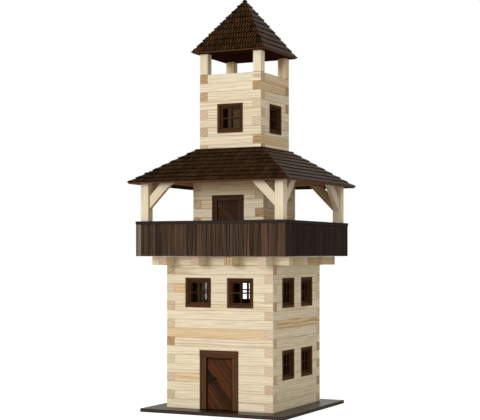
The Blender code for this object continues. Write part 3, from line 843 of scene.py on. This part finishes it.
# The solid that each storey stands on, the starts of the names of its windows, and its door
FLOORS = {"lower": "base_plate", "middle": "gallery_floor", "upper": "lower_roof_soffit"}
WINDOW_ROWS = {"lower": ("low_", "high_"), "middle": (), "upper": ("top",)}
DOORS = {"lower": "lower_door_frame", "middle": "upper_door"}
DOOR_UNDERCUT = 0.002
Storey = namedtuple("Storey", "foot top half courses")


def storey(level):
    """Foot, top, half side and number of courses, from the solids."""
    high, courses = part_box(level + "_wall_back")[1], getattr(settings().planks, level + "_courses")
    return Storey(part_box(FLOORS[level])[1].z, high.z, high.y, courses)


def plank_thickness():
    low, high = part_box("lower_wall_back")
    return high.y - low.y


def solids(*starts):
    """Names of the solids that start with one of these words."""
    return sorted(name for name in frame["nodes"] if name.startswith(starts))


def window_nodes(side, level):
    """The solids of one wall's windows."""
    return solids(*(f"window_{SIDES[side]}_{row}" for row in WINDOW_ROWS[level]))


def wall_holes(side, level):
    """Corners of a wall's openings, seen from its own side."""
    holes = [front_box(node, side) for node in window_nodes(side, level)]
    if side == 0 and level in DOORS:
        low, high = front_box(DOORS[level])
        low.z -= DOOR_UNDERCUT
        holes.append((low, high))
    return holes


def lay_courses(mesh, level, course, holes, seed):
    """Give every plank its own run of grain, tone and marks.

    A hole as high as a course parts it into planks. Those after the first are pale.
    """
    foot, _, half, courses = storey(level)
    spots = rows_of(mesh.vertices, "co")
    rank = np.floor((spots[:, 2] - foot) / course).astype(int).clip(0, courses - 1)
    grain, tone = spots.copy(), np.empty(len(spots))
    whole, parted = random.Random(seed), random.Random(seed + 1)
    for step in range(courses):
        under = foot + step * course
        breaks = sorted(
            (low.x + high.x) / 2 for low, high in holes
            if low.z < under + course / 8 and high.z > under + course * 7 / 8
        )
        part = np.searchsorted(breaks, spots[:, 0])
        middle = np.array((0.0, -half, under + course / 2))
        for piece in range(len(breaks) + 1):
            here = (rank == step) & (part == piece)
            chance = parted if piece else whole
            grain[here] += grain_start(chance) - middle
            tone[here] = chance.uniform(0.0, 0.5) if piece else chance.random()
    store_grain(mesh, grain, tone)
    mark_faces(mesh, (X, Y, Z))


def plank_wall(level, side, seed):
    """One wall of interlocked planks, cut for its door and windows."""
    planks = settings().planks
    thick = plank_thickness()
    foot, top, half, courses = storey(level)
    course = (top - foot) / courses
    holes = wall_holes(side, level)
    cutter = None
    if holes:
        room = bmesh.new()
        for low, high in holes:
            add_box(room, low, high, deeper=4)
        cutter = new_object("holes", mesh_of(room))
    mesh = grown(fetch("Plank Courses", course_tree), {
        "Courses": courses, "Course Height": course, "Plank Length": 2 * half - thick - 2 * planks.seam,
        "Plank Thickness": thick, "Seam": planks.seam, "Shift": thick / 2,
        "Foot": (0.0, -half + thick / 2, foot + planks.seam / 2),
        "Play": planks.play, "Seed": seed, "Finish": finish("bare_pine"),
    }, planks.edge, cutter)
    if cutter:
        bpy.data.objects.remove(cutter, do_unlink=True)
    lay_courses(mesh, level, course, holes, seed)
    name = SIDES[side]
    put(f"{level}_planks_{name}", mesh, "bare_pine", solids(f"{level}_wall_{name}"), side)


def storey_walls(level):
    for side, seed in enumerate(WALL_SEEDS[level]):
        plank_wall(level, side, seed)


# Windows and doors

# Tones of the casing, the sash and the muntins. The sash and muntins take lower tones and come out
# darker: painted shade of the window's recess.
CASING_TONES, SASH_SHADE_TONES, MUNTIN_SHADE_TONE = (0.42, 0.62), (0.25, 0.40), 0.05
MUNTIN_SETBACK, SASH_LAP = 0.0004, 0.0001
SMALLEST_STRIP = 2e-6

# How far the leaf's facing and its rounded heel reach round the hinge
FACING_PAST_AXIS, HEEL_LAP = 0.0006, 0.0008


def casing_section(width, depth, radius=0.00045, splay=0.0012):
    """Outer edge rounded, inner edge splayed towards the panes."""
    turns = [math.radians(180.0 + 30.0 * step) for step in range(4)]
    outer = [(radius + radius * math.cos(turn), radius + radius * math.sin(turn)) for turn in turns]
    return [(0.0, depth)] + outer + [(width - splay, 0.0), (width, splay), (width, depth)]


def window(node, side, seed):
    """Casing, recessed sash, and crossed bars between the open panes."""
    wanted = settings().windows
    low, high = front_box(node, side)
    first, last = Vector((low.x, low.z)), Vector((high.x, high.z))
    timber = Timber(seed)
    for bar, along in frame_bars(casing_section(wanted.casing, high.y - low.y), first, last, low.y):
        timber.add(bar, along, edge=0.0, tone=timber.chance.uniform(*CASING_TONES))
    # The outer rounded edges lose their edge mark and are not paled, keeping a dark outline as painted
    # shade where the casing meets the wall; the inner splays keep it and are paled, rubbing and a painted
    # highlight.
    mark = timber.shape.faces.layers.float["edge"]
    for face in timber.shape.faces:
        spot = face.calc_center_median()
        if min(spot.x - low.x, high.x - spot.x, spot.z - low.z, high.z - spot.z) < wanted.casing / 4:
            face[mark] = 0.0
    inset = Vector((wanted.casing - SASH_LAP, wanted.casing - SASH_LAP))
    face_y = low.y + wanted.recess
    section = casing_section(wanted.sash + SASH_LAP, wanted.sash_depth, radius=0.0002, splay=0.0005)
    # The sash's lower tones paint shade in the recess.
    for bar, along in frame_bars(section, first + inset, last - inset, face_y):
        timber.add(bar, along, edge=0.0, tone=timber.chance.uniform(*SASH_SHADE_TONES))
    pane, half = wanted.casing + wanted.sash, wanted.muntin / 2
    middle = (first + last) / 2
    front, back = face_y + MUNTIN_SETBACK, face_y + wanted.sash_depth - MUNTIN_SETBACK
    left, right = first.x + pane - LAP, last.x - pane + LAP
    foot, head = first.y + pane - LAP, last.y - pane + LAP
    # The muntins' lowest tone paints shade in the recess.
    level = block((left, front, middle.y - half), (right, back, middle.y + half))
    timber.add(level, X, SOFT, MUNTIN_SHADE_TONE)
    for start, stop in ((foot, middle.y - half), (middle.y + half, head)):
        upright = block((middle.x - half, front, start), (middle.x + half, back, stop))
        timber.add(upright, Z, SOFT, MUNTIN_SHADE_TONE)
    put(node + "_joinery", timber, "window_stain", [node], side)


def slanting_boards(timber, low, high, front):
    """Boards that cross a door leaf downwards to the right, cut to its outline."""
    wanted = settings().doors
    board, slant = wanted.board, wanted.slant
    back = front + wanted.facing - SKIN
    outline = [(low[0], low[1]), (high[0], low[1]), (high[0], high[1]), (low[0], high[1])]
    along = Vector((math.cos(slant), -math.sin(slant)))
    normal = Vector((math.sin(slant), math.cos(slant)))
    reach = [Vector(point).dot(normal) for point in outline]
    first = min(reach) - timber.chance.uniform(0.1, 0.5) * board
    for step in range(int((max(reach) - first) / board) + 1):
        start = normal * (first + step * board)
        strip = clipped(outline, start + normal * board, normal)
        strip = clipped(strip, start, -normal) if len(strip) > 2 else []
        if len(strip) > 2 and area_of(strip) >= SMALLEST_STRIP:
            drawing = [(x, 0.0, z) for x, z in strip]
            solid = prism(drawing, front * Y, (back - front) * Y)
            timber.add(solid, (along.x, 0.0, along.y), edge=0.00018)


def butted_frame(timber, low, high, jamb, setback):
    """Two jambs, set back a little, with a head laid across them."""
    under = high.z - jamb
    for start, stop in ((low.x, low.x + jamb), (high.x - jamb, high.x)):
        upright = block((start, low.y + setback, low.z), (stop, high.y, under - GAP))
        timber.add(upright, Z, WORN)
    timber.add(block((low.x, low.y, under), (high.x, high.y, high.z)), X, WORN)


def ground_door_frame():
    timber = Timber(seed=301)
    butted_frame(timber, *front_box("lower_door_frame"), settings().doors.jamb, setback=0.0003)
    put("ground_door_frame", timber, "door_stain", ["lower_door_frame"])


def ground_door_leaf():
    """The leaf about its axis: a backing board with a rounded heel, and slanting boards."""
    wanted = settings().doors
    low, high = front_box("lower_door_frame")
    axis = Vector(frame["joints"][0]["pos_m"])
    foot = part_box("base_plate")[1].z + wanted.foot_gap
    head = high.z - wanted.jamb - wanted.leaf_gap
    under_rail = head - wanted.head_shadow_rail
    free_edge = low.x + wanted.jamb + wanted.leaf_gap
    radius = wanted.leaf_thick / 2
    front, back = axis.y - radius, axis.y + radius
    face = front + wanted.facing
    heel = [
        (axis.x + radius * math.cos(turn), axis.y + radius * math.sin(turn))
        for turn in (math.pi * (step / 10 - 0.5) for step in range(11))
    ]
    plan = [(free_edge, back, 0.0), (free_edge, face, 0.0)] + [
        (x, max(y, face), 0.0) for x, y in heel if y > face - HEEL_LAP
    ]
    timber = Timber(seed=311)
    timber.add(prism(plan, foot * Z, (head - foot) * Z), Z, 0.0)
    hinge_side = axis.x + FACING_PAST_AXIS
    slanting_boards(timber, (free_edge, foot), (hinge_side, under_rail), front)
    ends = (
        (head - radius / 2, head + wanted.pin_length), (foot - wanted.pin_length, foot + radius / 2)
    )
    for start, stop in ends:
        timber.add(pin(wanted.pin, (axis.x, axis.y, start), (axis.x, axis.y, stop)), Z, 0.0)
    # A near-black rail under the head, at the lowest tone: a painted shadow of the head on the leaf.
    rail = block((free_edge, front + wanted.facing / 2, under_rail), (hinge_side, face, head))
    timber.add(rail, X, 0.0, tone=-1.0)
    put("ground_door_leaf", timber, "leaf_stain", ["lower_door_leaf"], body="door")
    handle_on(free_edge, front, foot)


def handle_on(free_edge, front, foot):
    """Lock plate with a lever that points away from the leaf's free edge."""
    wanted = settings().doors
    low = Vector((free_edge + wanted.lock_inset, front - wanted.lock_thick, foot + wanted.lock_foot))
    high = low + Vector((wanted.lock_width, wanted.lock_thick + LAP, wanted.lock_height))
    fittings = Timber(seed=313)
    fittings.add(block(low, high), Z)
    radius = wanted.lever_radius
    stem = Vector(((low.x + high.x) / 2, front, high.z - wanted.lever_drop))
    root = stem - wanted.lever_standoff * Y
    tip = root + wanted.lever * X
    fittings.add(pin(radius, stem, root - radius / 2 * Y), Y, 0.0)
    fittings.add(pin(radius, root - radius * X, tip), X)
    knob = bmesh.new()
    bmesh.ops.create_uvsphere(
        knob, u_segments=16, v_segments=10, radius=1.35 * radius, matrix=Matrix.Translation(tip),
    )
    fittings.add(knob, X, 0.0)
    handle = put("ground_door_handle", fittings, "iron", body="door")
    handle.data.shade_smooth()
    handle.data.set_sharp_from_angle(angle=math.radians(35))


def gallery_door():
    """Frame and closed leaf, its slanting boards a piece of their own."""
    wanted = settings().doors
    low, high = front_box("upper_door")
    jamb = wanted.upper_jamb
    timber, boards = Timber(seed=331), Timber(seed=337)
    butted_frame(timber, low, high, jamb, setback=0.0002)
    face = low.y + wanted.upper_recess
    left, right = low.x + jamb + wanted.leaf_gap, high.x - jamb - wanted.leaf_gap
    head = high.z - jamb - wanted.leaf_gap
    backing = block((left, face + wanted.facing, low.z), (right, face + wanted.leaf_thick, head))
    timber.add(backing, Z)
    # Both stains of this door are darkened as painted shade of the roof over the gallery.
    put("gallery_door_frame", timber, "upper_door_stain", ["upper_door"])
    slanting_boards(boards, (left, low.z), (right, head), face)
    put("gallery_door_boards", boards, "upper_leaf_stain")


# Joists and gallery

# Gaps round the braces, and how far a parapet's boards lie back and its strips stand out
BRACE_GAP, BRACE_DROP = 0.0002, 0.00005
BOARD_SETBACK, STRIP_PROUD = 0.0002, 0.0002


def joists():
    """Half-lapped joists: those that run across are notched on top, the others below."""
    low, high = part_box("joist_grid")
    thick = plank_thickness()
    outer = storey("lower").half - thick / 2
    inner = settings().planks.inner_joist
    places = (-outer, -inner, inner, outer)
    middle, notch = (low.z + high.z) / 2, thick / 2 + GAP
    timber = Timber(seed=411)
    for run, side, level, far in ((X, Y, high.z, low.z), (Y, X, low.z, high.z)):
        outline = [(low.x, level)]
        for spot in places:
            left, right = spot - notch, spot + notch
            outline += [(left, level), (left, middle), (right, middle), (right, level)]
        outline += [(high.x, level), (high.x, far), (low.x, far)]
        drawing = [(x * run.x, x * run.y, z) for x, z in outline]
        for spot in places:
            timber.add(prism(drawing, (spot - thick / 2) * side, thick * side), run, SLIGHT)
    put("joists", timber, "bare_pine", ["joist_grid"])


def parapet(side, seed):
    """Upright boards under a cap, on the long sides with a dark and a smooth strip at the left."""
    wanted = settings().parapet
    name = SIDES[side]
    node = "fence_" + name
    low, high = front_box(node, side)
    long_side = side % 2 == 0
    board_face = low.y + wanted.cap_proud
    under_cap = high.z - wanted.cap
    ends = wanted.cap_proud if long_side else 0.0
    left, right = low.x + ends, high.x - ends
    margin = wanted.edging + wanted.batten if long_side else 0.0
    run = right - left - margin
    # The short sides take the darker, plainer stain: painted shade.
    stain = "parapet_stain" if long_side else "side_parapet_stain"
    boards = max(1, round(run / ((high.x - low.x) / wanted.boards)))
    pitch = run / boards
    thick = high.y - board_face
    start = left + margin + pitch / 2
    mesh = grown(fetch("Upright Boards", board_tree), {
        "Boards": boards, "Pitch": pitch, "Gap": wanted.gap, "Thickness": thick - 2 * BOARD_SETBACK,
        "Height": under_cap - low.z, "Play": wanted.play, "Seed": seed, "Finish": finish(stain),
        "Start": (start, board_face + thick / 2, (low.z + under_cap) / 2),
    }, WORN)
    spots = rows_of(mesh.vertices, "co")
    rank = np.round((spots[:, 0] - start) / pitch).astype(int)
    grain = np.column_stack((spots[:, 2], spots[:, 1], spots[:, 0]))
    tone = lay_pieces(grain, rank, random.Random(seed))
    for step in np.unique(rank):
        here = rank == step
        grain[here, 1] -= spots[here, 1].mean()
        grain[here, 2] -= start + step * pitch
    store_grain(mesh, grain, tone)
    mark_faces(mesh, (Z, Y, X))
    put("parapet_boards_" + name, mesh, stain, [node], side)
    trim = Timber(seed + 50)
    trim.add(block((low.x, low.y, under_cap), high), X, BROAD, tone=0.07)
    if long_side:
        seam = left + wanted.edging
        for start, stop, tone in ((left, seam, 0.0), (seam, left + margin, 1.0)):
            strip = block((start, board_face - STRIP_PROUD, low.z), (stop - GAP, high.y, under_cap))
            trim.add(strip, Z, WORN, tone)
    put("parapet_trim_" + name, trim, "batten_stain", side=side)


def gallery_post(turn, seed):
    """A corner post and its two raking braces, drawn at the front left corner."""
    node = "gallery_post_" + CORNERS[turn]
    low, high = front_box(node, turn)
    side = plank_thickness()
    width, thick = settings().planks.brace_width, settings().planks.brace_thick
    inner_x, inner_y = low.x + side, low.y + side
    timber = Timber(seed)
    timber.add(block(low, (inner_x, inner_y, high.z)), Z, WORN)
    reach = high.x - inner_x
    near = reach - width * math.sqrt(2.0)
    top, middle = high.z - BRACE_DROP, low.x + side / 2
    outline = [(BRACE_GAP, high.z - reach), (reach, top), (near, top), (BRACE_GAP, high.z - near)]
    along_x = [(inner_x + out, 0.0, up) for out, up in outline]
    along_y = [(0.0, inner_y + out, up) for out, up in outline]
    for drawing, run, across in ((along_x, X, Y), (along_y, Y, X)):
        brace = prism(drawing, (middle - thick / 2) * across, thick * across)
        timber.add(brace, run + Z, SOFT)
    put("gallery_post_timbers_" + CORNERS[turn], timber, "bare_pine", [node], turn)


# Roofs

# How far the tiles and their board reach past the hips before they are cut, the gap at a hip,
# and how far a tile sinks into its board
HIP_SPARE, BOARD_SPARE, HIP_GAP, TILE_SINK = 0.003, 0.004, 0.00001, 0.0001

# Sides of grooves and butts of tiles lean at least this much. They get painted shade, fainter on the
# short slopes than on the long ones
GROOVE_LEAN, BUTT_LEAN, SHORT_SLOPE_SHADE = 0.2, 0.35, 0.45
TILES_IN_ROW = 1009
ROOF_TO_WALL, CANOPY_THICK = 0.0003, 0.002


def tile_object():
    """One tile: thick and blunt at its lower edge, thin above, a little crowned across."""
    wanted = settings().roofs
    half = wanted.tile / 2

    # Places up the tile, its thickness there, and places across it
    stations = (0.0, 0.00025, 0.0009, wanted.exposure)
    rises = (wanted.butt - 0.00035, wanted.butt - 0.0001, wanted.butt, wanted.tail)
    columns = (-1.0, -0.46, 0.0, 0.46, 1.0)
    shape = bmesh.new()

    def line(up, rise, crown=0.0):
        crowned = min(1.0, rise / wanted.butt)
        return [
            shape.verts.new((half * across, up, rise - crown * abs(across) ** 3 * crowned))
            for across in columns
        ]

    top = [line(up, rise, wanted.crown) for up, rise in zip(stations, rises)]
    under, over = line(stations[0], -TILE_SINK), line(stations[-1], -TILE_SINK)
    for lower, upper in zip(top, top[1:]):
        for here in range(4):
            shape.faces.new((lower[here], lower[here + 1], upper[here + 1], upper[here]))
    for here in range(4):
        after = here + 1
        shape.faces.new((under[here], under[after], top[0][after], top[0][here]))
        shape.faces.new((over[after], over[here], top[-1][here], top[-1][after]))
        shape.faces.new((under[after], under[here], over[here], over[after]))
    shape.faces.new([under[0]] + [row[0] for row in top] + [over[0]])
    shape.faces.new([over[-1]] + [row[-1] for row in reversed(top)] + [under[-1]])
    bmesh.ops.recalc_face_normals(shape, faces=shape.faces)
    return new_object("tile", mesh_of(shape))


def cut_away(shape, point, normal):
    """Cut off what lies beyond a plane and close every cut."""
    cut = bmesh.ops.bisect_plane(
        shape, geom=shape.verts[:] + shape.edges[:] + shape.faces[:],
        plane_co=point, plane_no=normal.normalized(), clear_outer=True, dist=1e-7,
    )
    rim = [part for part in cut["geom_cut"] if isinstance(part, bmesh.types.BMEdge)]
    bmesh.ops.holes_fill(shape, edges=rim, sides=0)


def tile_slope(pitch, stop, eave, long_side, seed):
    """Rows of tiles on a flat panel, each tile with its own grain and tone, and painted shade in the
    grooves and under the butts.
    """
    wanted = settings().roofs
    tile = tile_object()
    mesh = grown(fetch("Tile Rows", tile_tree), {
        "Tile": tile, "Columns": 2 * math.ceil((eave + HIP_SPARE) / wanted.tile) + 1,
        "Rows": math.ceil(stop / wanted.exposure), "Width": wanted.tile, "Exposure": wanted.exposure,
        "Eave Half": eave + HIP_SPARE, "Narrowing": math.cos(pitch), "Turn": wanted.turn,
        "Lift": wanted.lift, "Seed": seed, "Finish": finish("roof_stain"),
    })
    bpy.data.objects.remove(tile, do_unlink=True)
    spots = rows_of(mesh.vertices, "co")
    row = np.floor((spots[:, 1] + 1e-6) / wanted.exposure).astype(int)
    shift = np.where(row % 2 == 0, 0.0, 0.5)
    column = np.round(spots[:, 0] / wanted.tile - shift).astype(int)
    grain = np.column_stack((spots[:, 1], spots[:, 0], spots[:, 2]))
    store_grain(mesh, grain, lay_pieces(grain, row * TILES_IN_ROW + column, random.Random(seed)))
    facing = rows_of(mesh.polygons, "normal")
    store(mesh, "end", "FLOAT", "FACE", np.zeros(len(facing)))
    # Groove sides and butts are marked for painted shade, the butts half as much, and less of it on the
    # short slopes.
    groove, butt = np.abs(facing[:, 0]) > GROOVE_LEAN, facing[:, 1] < -BUTT_LEAN
    dark = np.maximum(groove, 0.5 * butt) * (1.0 if long_side else SHORT_SLOPE_SHADE)
    store(mesh, "edge", "FLOAT", "FACE", dark)
    return mesh


def roof_slope(node, side, pitch, inner, seed):
    """One tiled slope: the backing board and its rows of tiles, mitred at both hips."""
    wanted = settings().roofs
    low, high = front_box(node, side)
    long_side = side % 2 == 0
    eave = -low.y - wanted.board * math.sin(pitch)
    stop = (eave - inner) / math.cos(pitch) + wanted.board
    up = Vector((0.0, math.cos(pitch), math.sin(pitch)))
    out = Vector((0.0, -math.sin(pitch), math.cos(pitch)))
    panel = Matrix((X, up, out)).transposed().to_4x4()
    panel.translation = (0.0, -eave, low.z)
    mesh = tile_slope(pitch, stop, eave, long_side, seed)
    mesh.transform(panel @ Matrix.Translation((0.0, 0.0, wanted.backing)))
    tiles, board = Timber(seed), Timber(seed + 7)
    tiles.shape.from_mesh(mesh)
    bpy.data.meshes.remove(mesh)
    reach = eave + BOARD_SPARE
    backing = block((-reach, 0.0, 0.0), (reach, stop, wanted.backing))
    bmesh.ops.transform(backing, matrix=panel, verts=backing.verts)
    board.add(backing, X, 0.0, tone=0.6)
    # The board's end down the slope is a sawn end; its face under the tiles is darkened, painted shade
    # that shows in the gaps between the tiles.
    sawn, dark = (board.shape.faces.layers.float[name] for name in ("end", "edge"))
    for face in board.shape.faces:
        face[sawn] = float(face.normal.dot(up) < -END_FACING)
        face[dark] = float(face.normal.dot(out) > END_FACING)
    for shape in (board.shape, tiles.shape):
        for hand in (-1, 1):
            cut_away(shape, -HIP_GAP * Y, hand * X + Y)
        cut_away(shape, -inner * Y, Y)
        if inner:
            cut_away(shape, high.z * Z, Z)
    put(node + "_board", board, "roof_board_stain", [node], side)
    stain = "roof_stain" if long_side else "side_roof_stain"
    put(node + "_tiles", tiles, stain, [node], side)


def roof_slopes(level, pitch, inner, seed):
    """Four slopes that stop at a wall, with a level strip beside it, or meet in a point."""
    for side, name in enumerate(SIDES):
        roof_slope(f"{level}_roof_{name}", side, pitch, inner, seed + side)


def lookout():
    """Four corner posts and the board that they carry."""
    low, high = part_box("lookout_frame")
    half, side = storey("upper").half, plank_thickness()
    canopy = high.z - CANOPY_THICK
    timber = Timber(seed=1314)
    for x in (-half, half - side):
        for y in (-half, half - side):
            timber.add(block((x, y, low.z), (x + side, y + side, canopy)), Z, WORN)
    put("lookout_posts", timber, "bare_pine", ["lookout_frame"])
    box = (low.x, low.y, canopy + SKIN), high
    flat_board("lookout_board", "lookout_frame", "lookout_stain", seed=611, box=box)


# Stage


def floor():
    """A wide floor, pale to the camera, that adds no light of its own."""
    shape = bmesh.new()
    bmesh.ops.create_grid(shape, x_segments=1, y_segments=1, size=30.0)
    ground = new_object("floor", mesh_of(shape))
    material, nodes, shader = begin_material("pale_floor")
    seen = nodes.add("ShaderNodeLightPath").outputs["Is Camera Ray"]
    inputs = {
        "Base Color": (0.6, 0.6, 0.6, 1.0), "Roughness": 0.9, "Specular IOR Level": 0.0,
        "Emission Strength": 0.8,
        "Emission Color": nodes.blend(seen, (0.0, 0.0, 0.0, 1.0), (1.0, 1.0, 1.0, 1.0)),
    }
    for name, value in inputs.items():
        nodes.feed(shader.inputs[name], value)
    ground.data.materials.append(material)


def surroundings():
    """A white sweep behind the tower and even dim light all round."""
    wanted = settings().stage
    world = bpy.data.worlds.new("studio")
    world.use_nodes = True
    nodes = Nodes(world.node_tree)
    light = nodes.add("ShaderNodeLightPath").outputs
    facing = nodes.add("ShaderNodeTexCoord").outputs["Generated"]
    sweep, soft_edge = Vector((-0.20, 0.88, 0.50)).normalized(), (0.84, 0.96)
    near = nodes.add("ShaderNodeVectorMath", {0: facing, 1: sweep}, operation="DOT_PRODUCT")
    mirrored = nodes.spread(near.outputs["Value"], *soft_edge, wanted.room, wanted.sweep)
    gloss = nodes.less(mirrored, wanted.fill)
    dim = nodes.times_plus(light["Is Glossy Ray"], gloss, wanted.fill)
    seen = nodes.times_plus(light["Is Camera Ray"], nodes.less(1.0, dim), dim)
    tint = nodes.blend(light["Is Camera Ray"], (1.0, 0.97, 0.90, 1.0), (1.0, 1.0, 1.0, 1.0))
    background = world.node_tree.nodes["Background"]
    nodes.feed(background.inputs["Strength"], seen)
    nodes.feed(background.inputs["Color"], tint)
    bpy.context.scene.world = world


def key_light():
    """A broad soft light from the front left, a little above the tower."""
    lamp = bpy.data.lights.new("key", "SUN")
    lamp.energy = settings().stage.key
    lamp.angle = math.radians(22.0)
    towards = Vector((0.32, 0.92, -0.165))
    item = new_object("key", lamp)
    item.rotation_mode = "QUATERNION"
    item.rotation_quaternion = towards.to_track_quat("-Z", "Y")


def camera():
    """A level camera in front of the tower, a little round to the right."""
    wanted = settings().stage
    lens = bpy.data.cameras.new("camera")
    lens.lens = wanted.focal
    lens.sensor_width = 36.0
    lens.shift_x, lens.shift_y = -0.01034, 0.09277
    lens.clip_start, lens.clip_end = 0.01, 200.0
    item = new_object("camera", lens)
    away = wanted.distance
    item.location = (away * math.sin(wanted.swing), -away * math.cos(wanted.swing), wanted.height)
    item.rotation_euler = (math.pi / 2, 0.0, wanted.swing)
    bpy.context.scene.camera = item
    bpy.context.scene.view_settings.view_transform = "Standard"


# Operators


class AddBase(Operator):
    """Add the glossy base plate"""

    bl_idname = "plank_tower.add_base"
    bl_label = "Base Plate"

    def execute(self, context):
        flat_board("base_board", "base_plate", "base_stain", seed=401, edge=BROAD)
        return {"FINISHED"}


class AddLowerWalls(Operator):
    """Add the plank walls below the gallery"""

    bl_idname = "plank_tower.add_lower_walls"
    bl_label = "Lower Walls"

    def execute(self, context):
        storey_walls("lower")
        return {"FINISHED"}


class AddJoists(Operator):
    """Add the half-lapped joists and the gallery's floor board"""

    bl_idname = "plank_tower.add_joists"
    bl_label = "Joists"

    def execute(self, context):
        joists()
        flat_board("gallery_board", "gallery_floor", "bare_pine", seed=421, tone=0.3)
        return {"FINISHED"}


class AddParapets(Operator):
    """Add the boarded parapets round the gallery"""

    bl_idname = "plank_tower.add_parapets"
    bl_label = "Parapets"

    def execute(self, context):
        for side in range(4):
            parapet(side, PARAPET_SEED + side)
        return {"FINISHED"}


class AddGalleryPosts(Operator):
    """Add the braced posts that carry the lower roof"""

    bl_idname = "plank_tower.add_gallery_posts"
    bl_label = "Gallery Posts"

    def execute(self, context):
        for turn, seed in enumerate(POST_SEEDS):
            gallery_post(turn, seed)
        return {"FINISHED"}


class AddMiddleWalls(Operator):
    """Add the plank walls behind the gallery"""

    bl_idname = "plank_tower.add_middle_walls"
    bl_label = "Middle Walls"

    def execute(self, context):
        storey_walls("middle")
        return {"FINISHED"}


class AddUpperWalls(Operator):
    """Add the plank walls above the lower roof"""

    bl_idname = "plank_tower.add_upper_walls"
    bl_label = "Upper Walls"

    def execute(self, context):
        storey_walls("upper")
        return {"FINISHED"}


class AddWindows(Operator):
    """Add the windows of every wall"""

    bl_idname = "plank_tower.add_windows"
    bl_label = "Windows"

    def execute(self, context):
        seed = FIRST_WINDOW_SEED
        for side in range(4):
            for node in window_nodes(side, "lower") + window_nodes(side, "upper"):
                window(node, side, seed)
                seed += 1
        return {"FINISHED"}


class AddGroundDoor(Operator):
    """Add the ground door's frame, leaf and handle"""

    bl_idname = "plank_tower.add_ground_door"
    bl_label = "Ground Door"

    def execute(self, context):
        ground_door_frame()
        ground_door_leaf()
        return {"FINISHED"}


class AddGalleryDoor(Operator):
    """Add the closed door onto the gallery"""

    bl_idname = "plank_tower.add_gallery_door"
    bl_label = "Gallery Door"

    def execute(self, context):
        gallery_door()
        return {"FINISHED"}


class AddLowerRoof(Operator):
    """Add the soffit and the four tiled slopes over the gallery"""

    bl_idname = "plank_tower.add_lower_roof"
    bl_label = "Lower Roof"

    def execute(self, context):
        flat_board("soffit_board", "lower_roof_soffit", "soffit_stain", seed=561)
        wall_face = storey("upper").half + ROOF_TO_WALL
        roof_slopes("lower", settings().roofs.lower_pitch, wall_face, seed=571)
        return {"FINISHED"}


class AddLookout(Operator):
    """Add the lookout's posts and the board that they carry"""

    bl_idname = "plank_tower.add_lookout"
    bl_label = "Lookout"

    def execute(self, context):
        lookout()
        return {"FINISHED"}


class AddUpperRoof(Operator):
    """Add the four tiled slopes that meet in a point"""

    bl_idname = "plank_tower.add_upper_roof"
    bl_label = "Upper Roof"

    def execute(self, context):
        roof_slopes("upper", settings().roofs.upper_pitch, 0.0, seed=621)
        return {"FINISHED"}


class SetStage(Operator):
    """Add the pale floor, the lights and the camera"""

    bl_idname = "plank_tower.set_stage"
    bl_label = "Floor, Lights and Camera"

    def execute(self, context):
        floor()
        surroundings()
        key_light()
        camera()
        return {"FINISHED"}


OPERATORS = (
    AddBase, AddLowerWalls, AddJoists, AddParapets, AddGalleryPosts, AddMiddleWalls, AddUpperWalls,
    AddWindows, AddGroundDoor, AddGalleryDoor, AddLowerRoof, AddLookout, AddUpperRoof, SetStage,
)


class TowerPanel(Panel):
    """Lists the tower's pieces in the order in which they are built"""

    bl_idname = "VIEW3D_PT_plank_tower"
    bl_label = "Plank Tower"
    bl_space_type = "VIEW_3D"
    bl_region_type = "UI"
    bl_category = "Tower"

    def draw(self, context):
        for operator in OPERATORS:
            self.layout.operator(operator.bl_idname)


CLASSES = (
    PlankSettings, WindowSettings, DoorSettings, ParapetSettings, RoofSettings, FinishSettings,
    StageSettings, TowerSettings, *OPERATORS, TowerPanel,
)


def register():
    for each in CLASSES:
        bpy.utils.register_class(each)
    bpy.types.Scene.plank_tower = PointerProperty(type=TowerSettings)


def unregister():
    del bpy.types.Scene.plank_tower
    for each in reversed(CLASSES):
        bpy.utils.unregister_class(each)


def main():
    register()
    for operator in OPERATORS:
        group, name = operator.bl_idname.split(".")
        getattr(getattr(bpy.ops, group), name)()


if __name__ == "__main__":
    main()
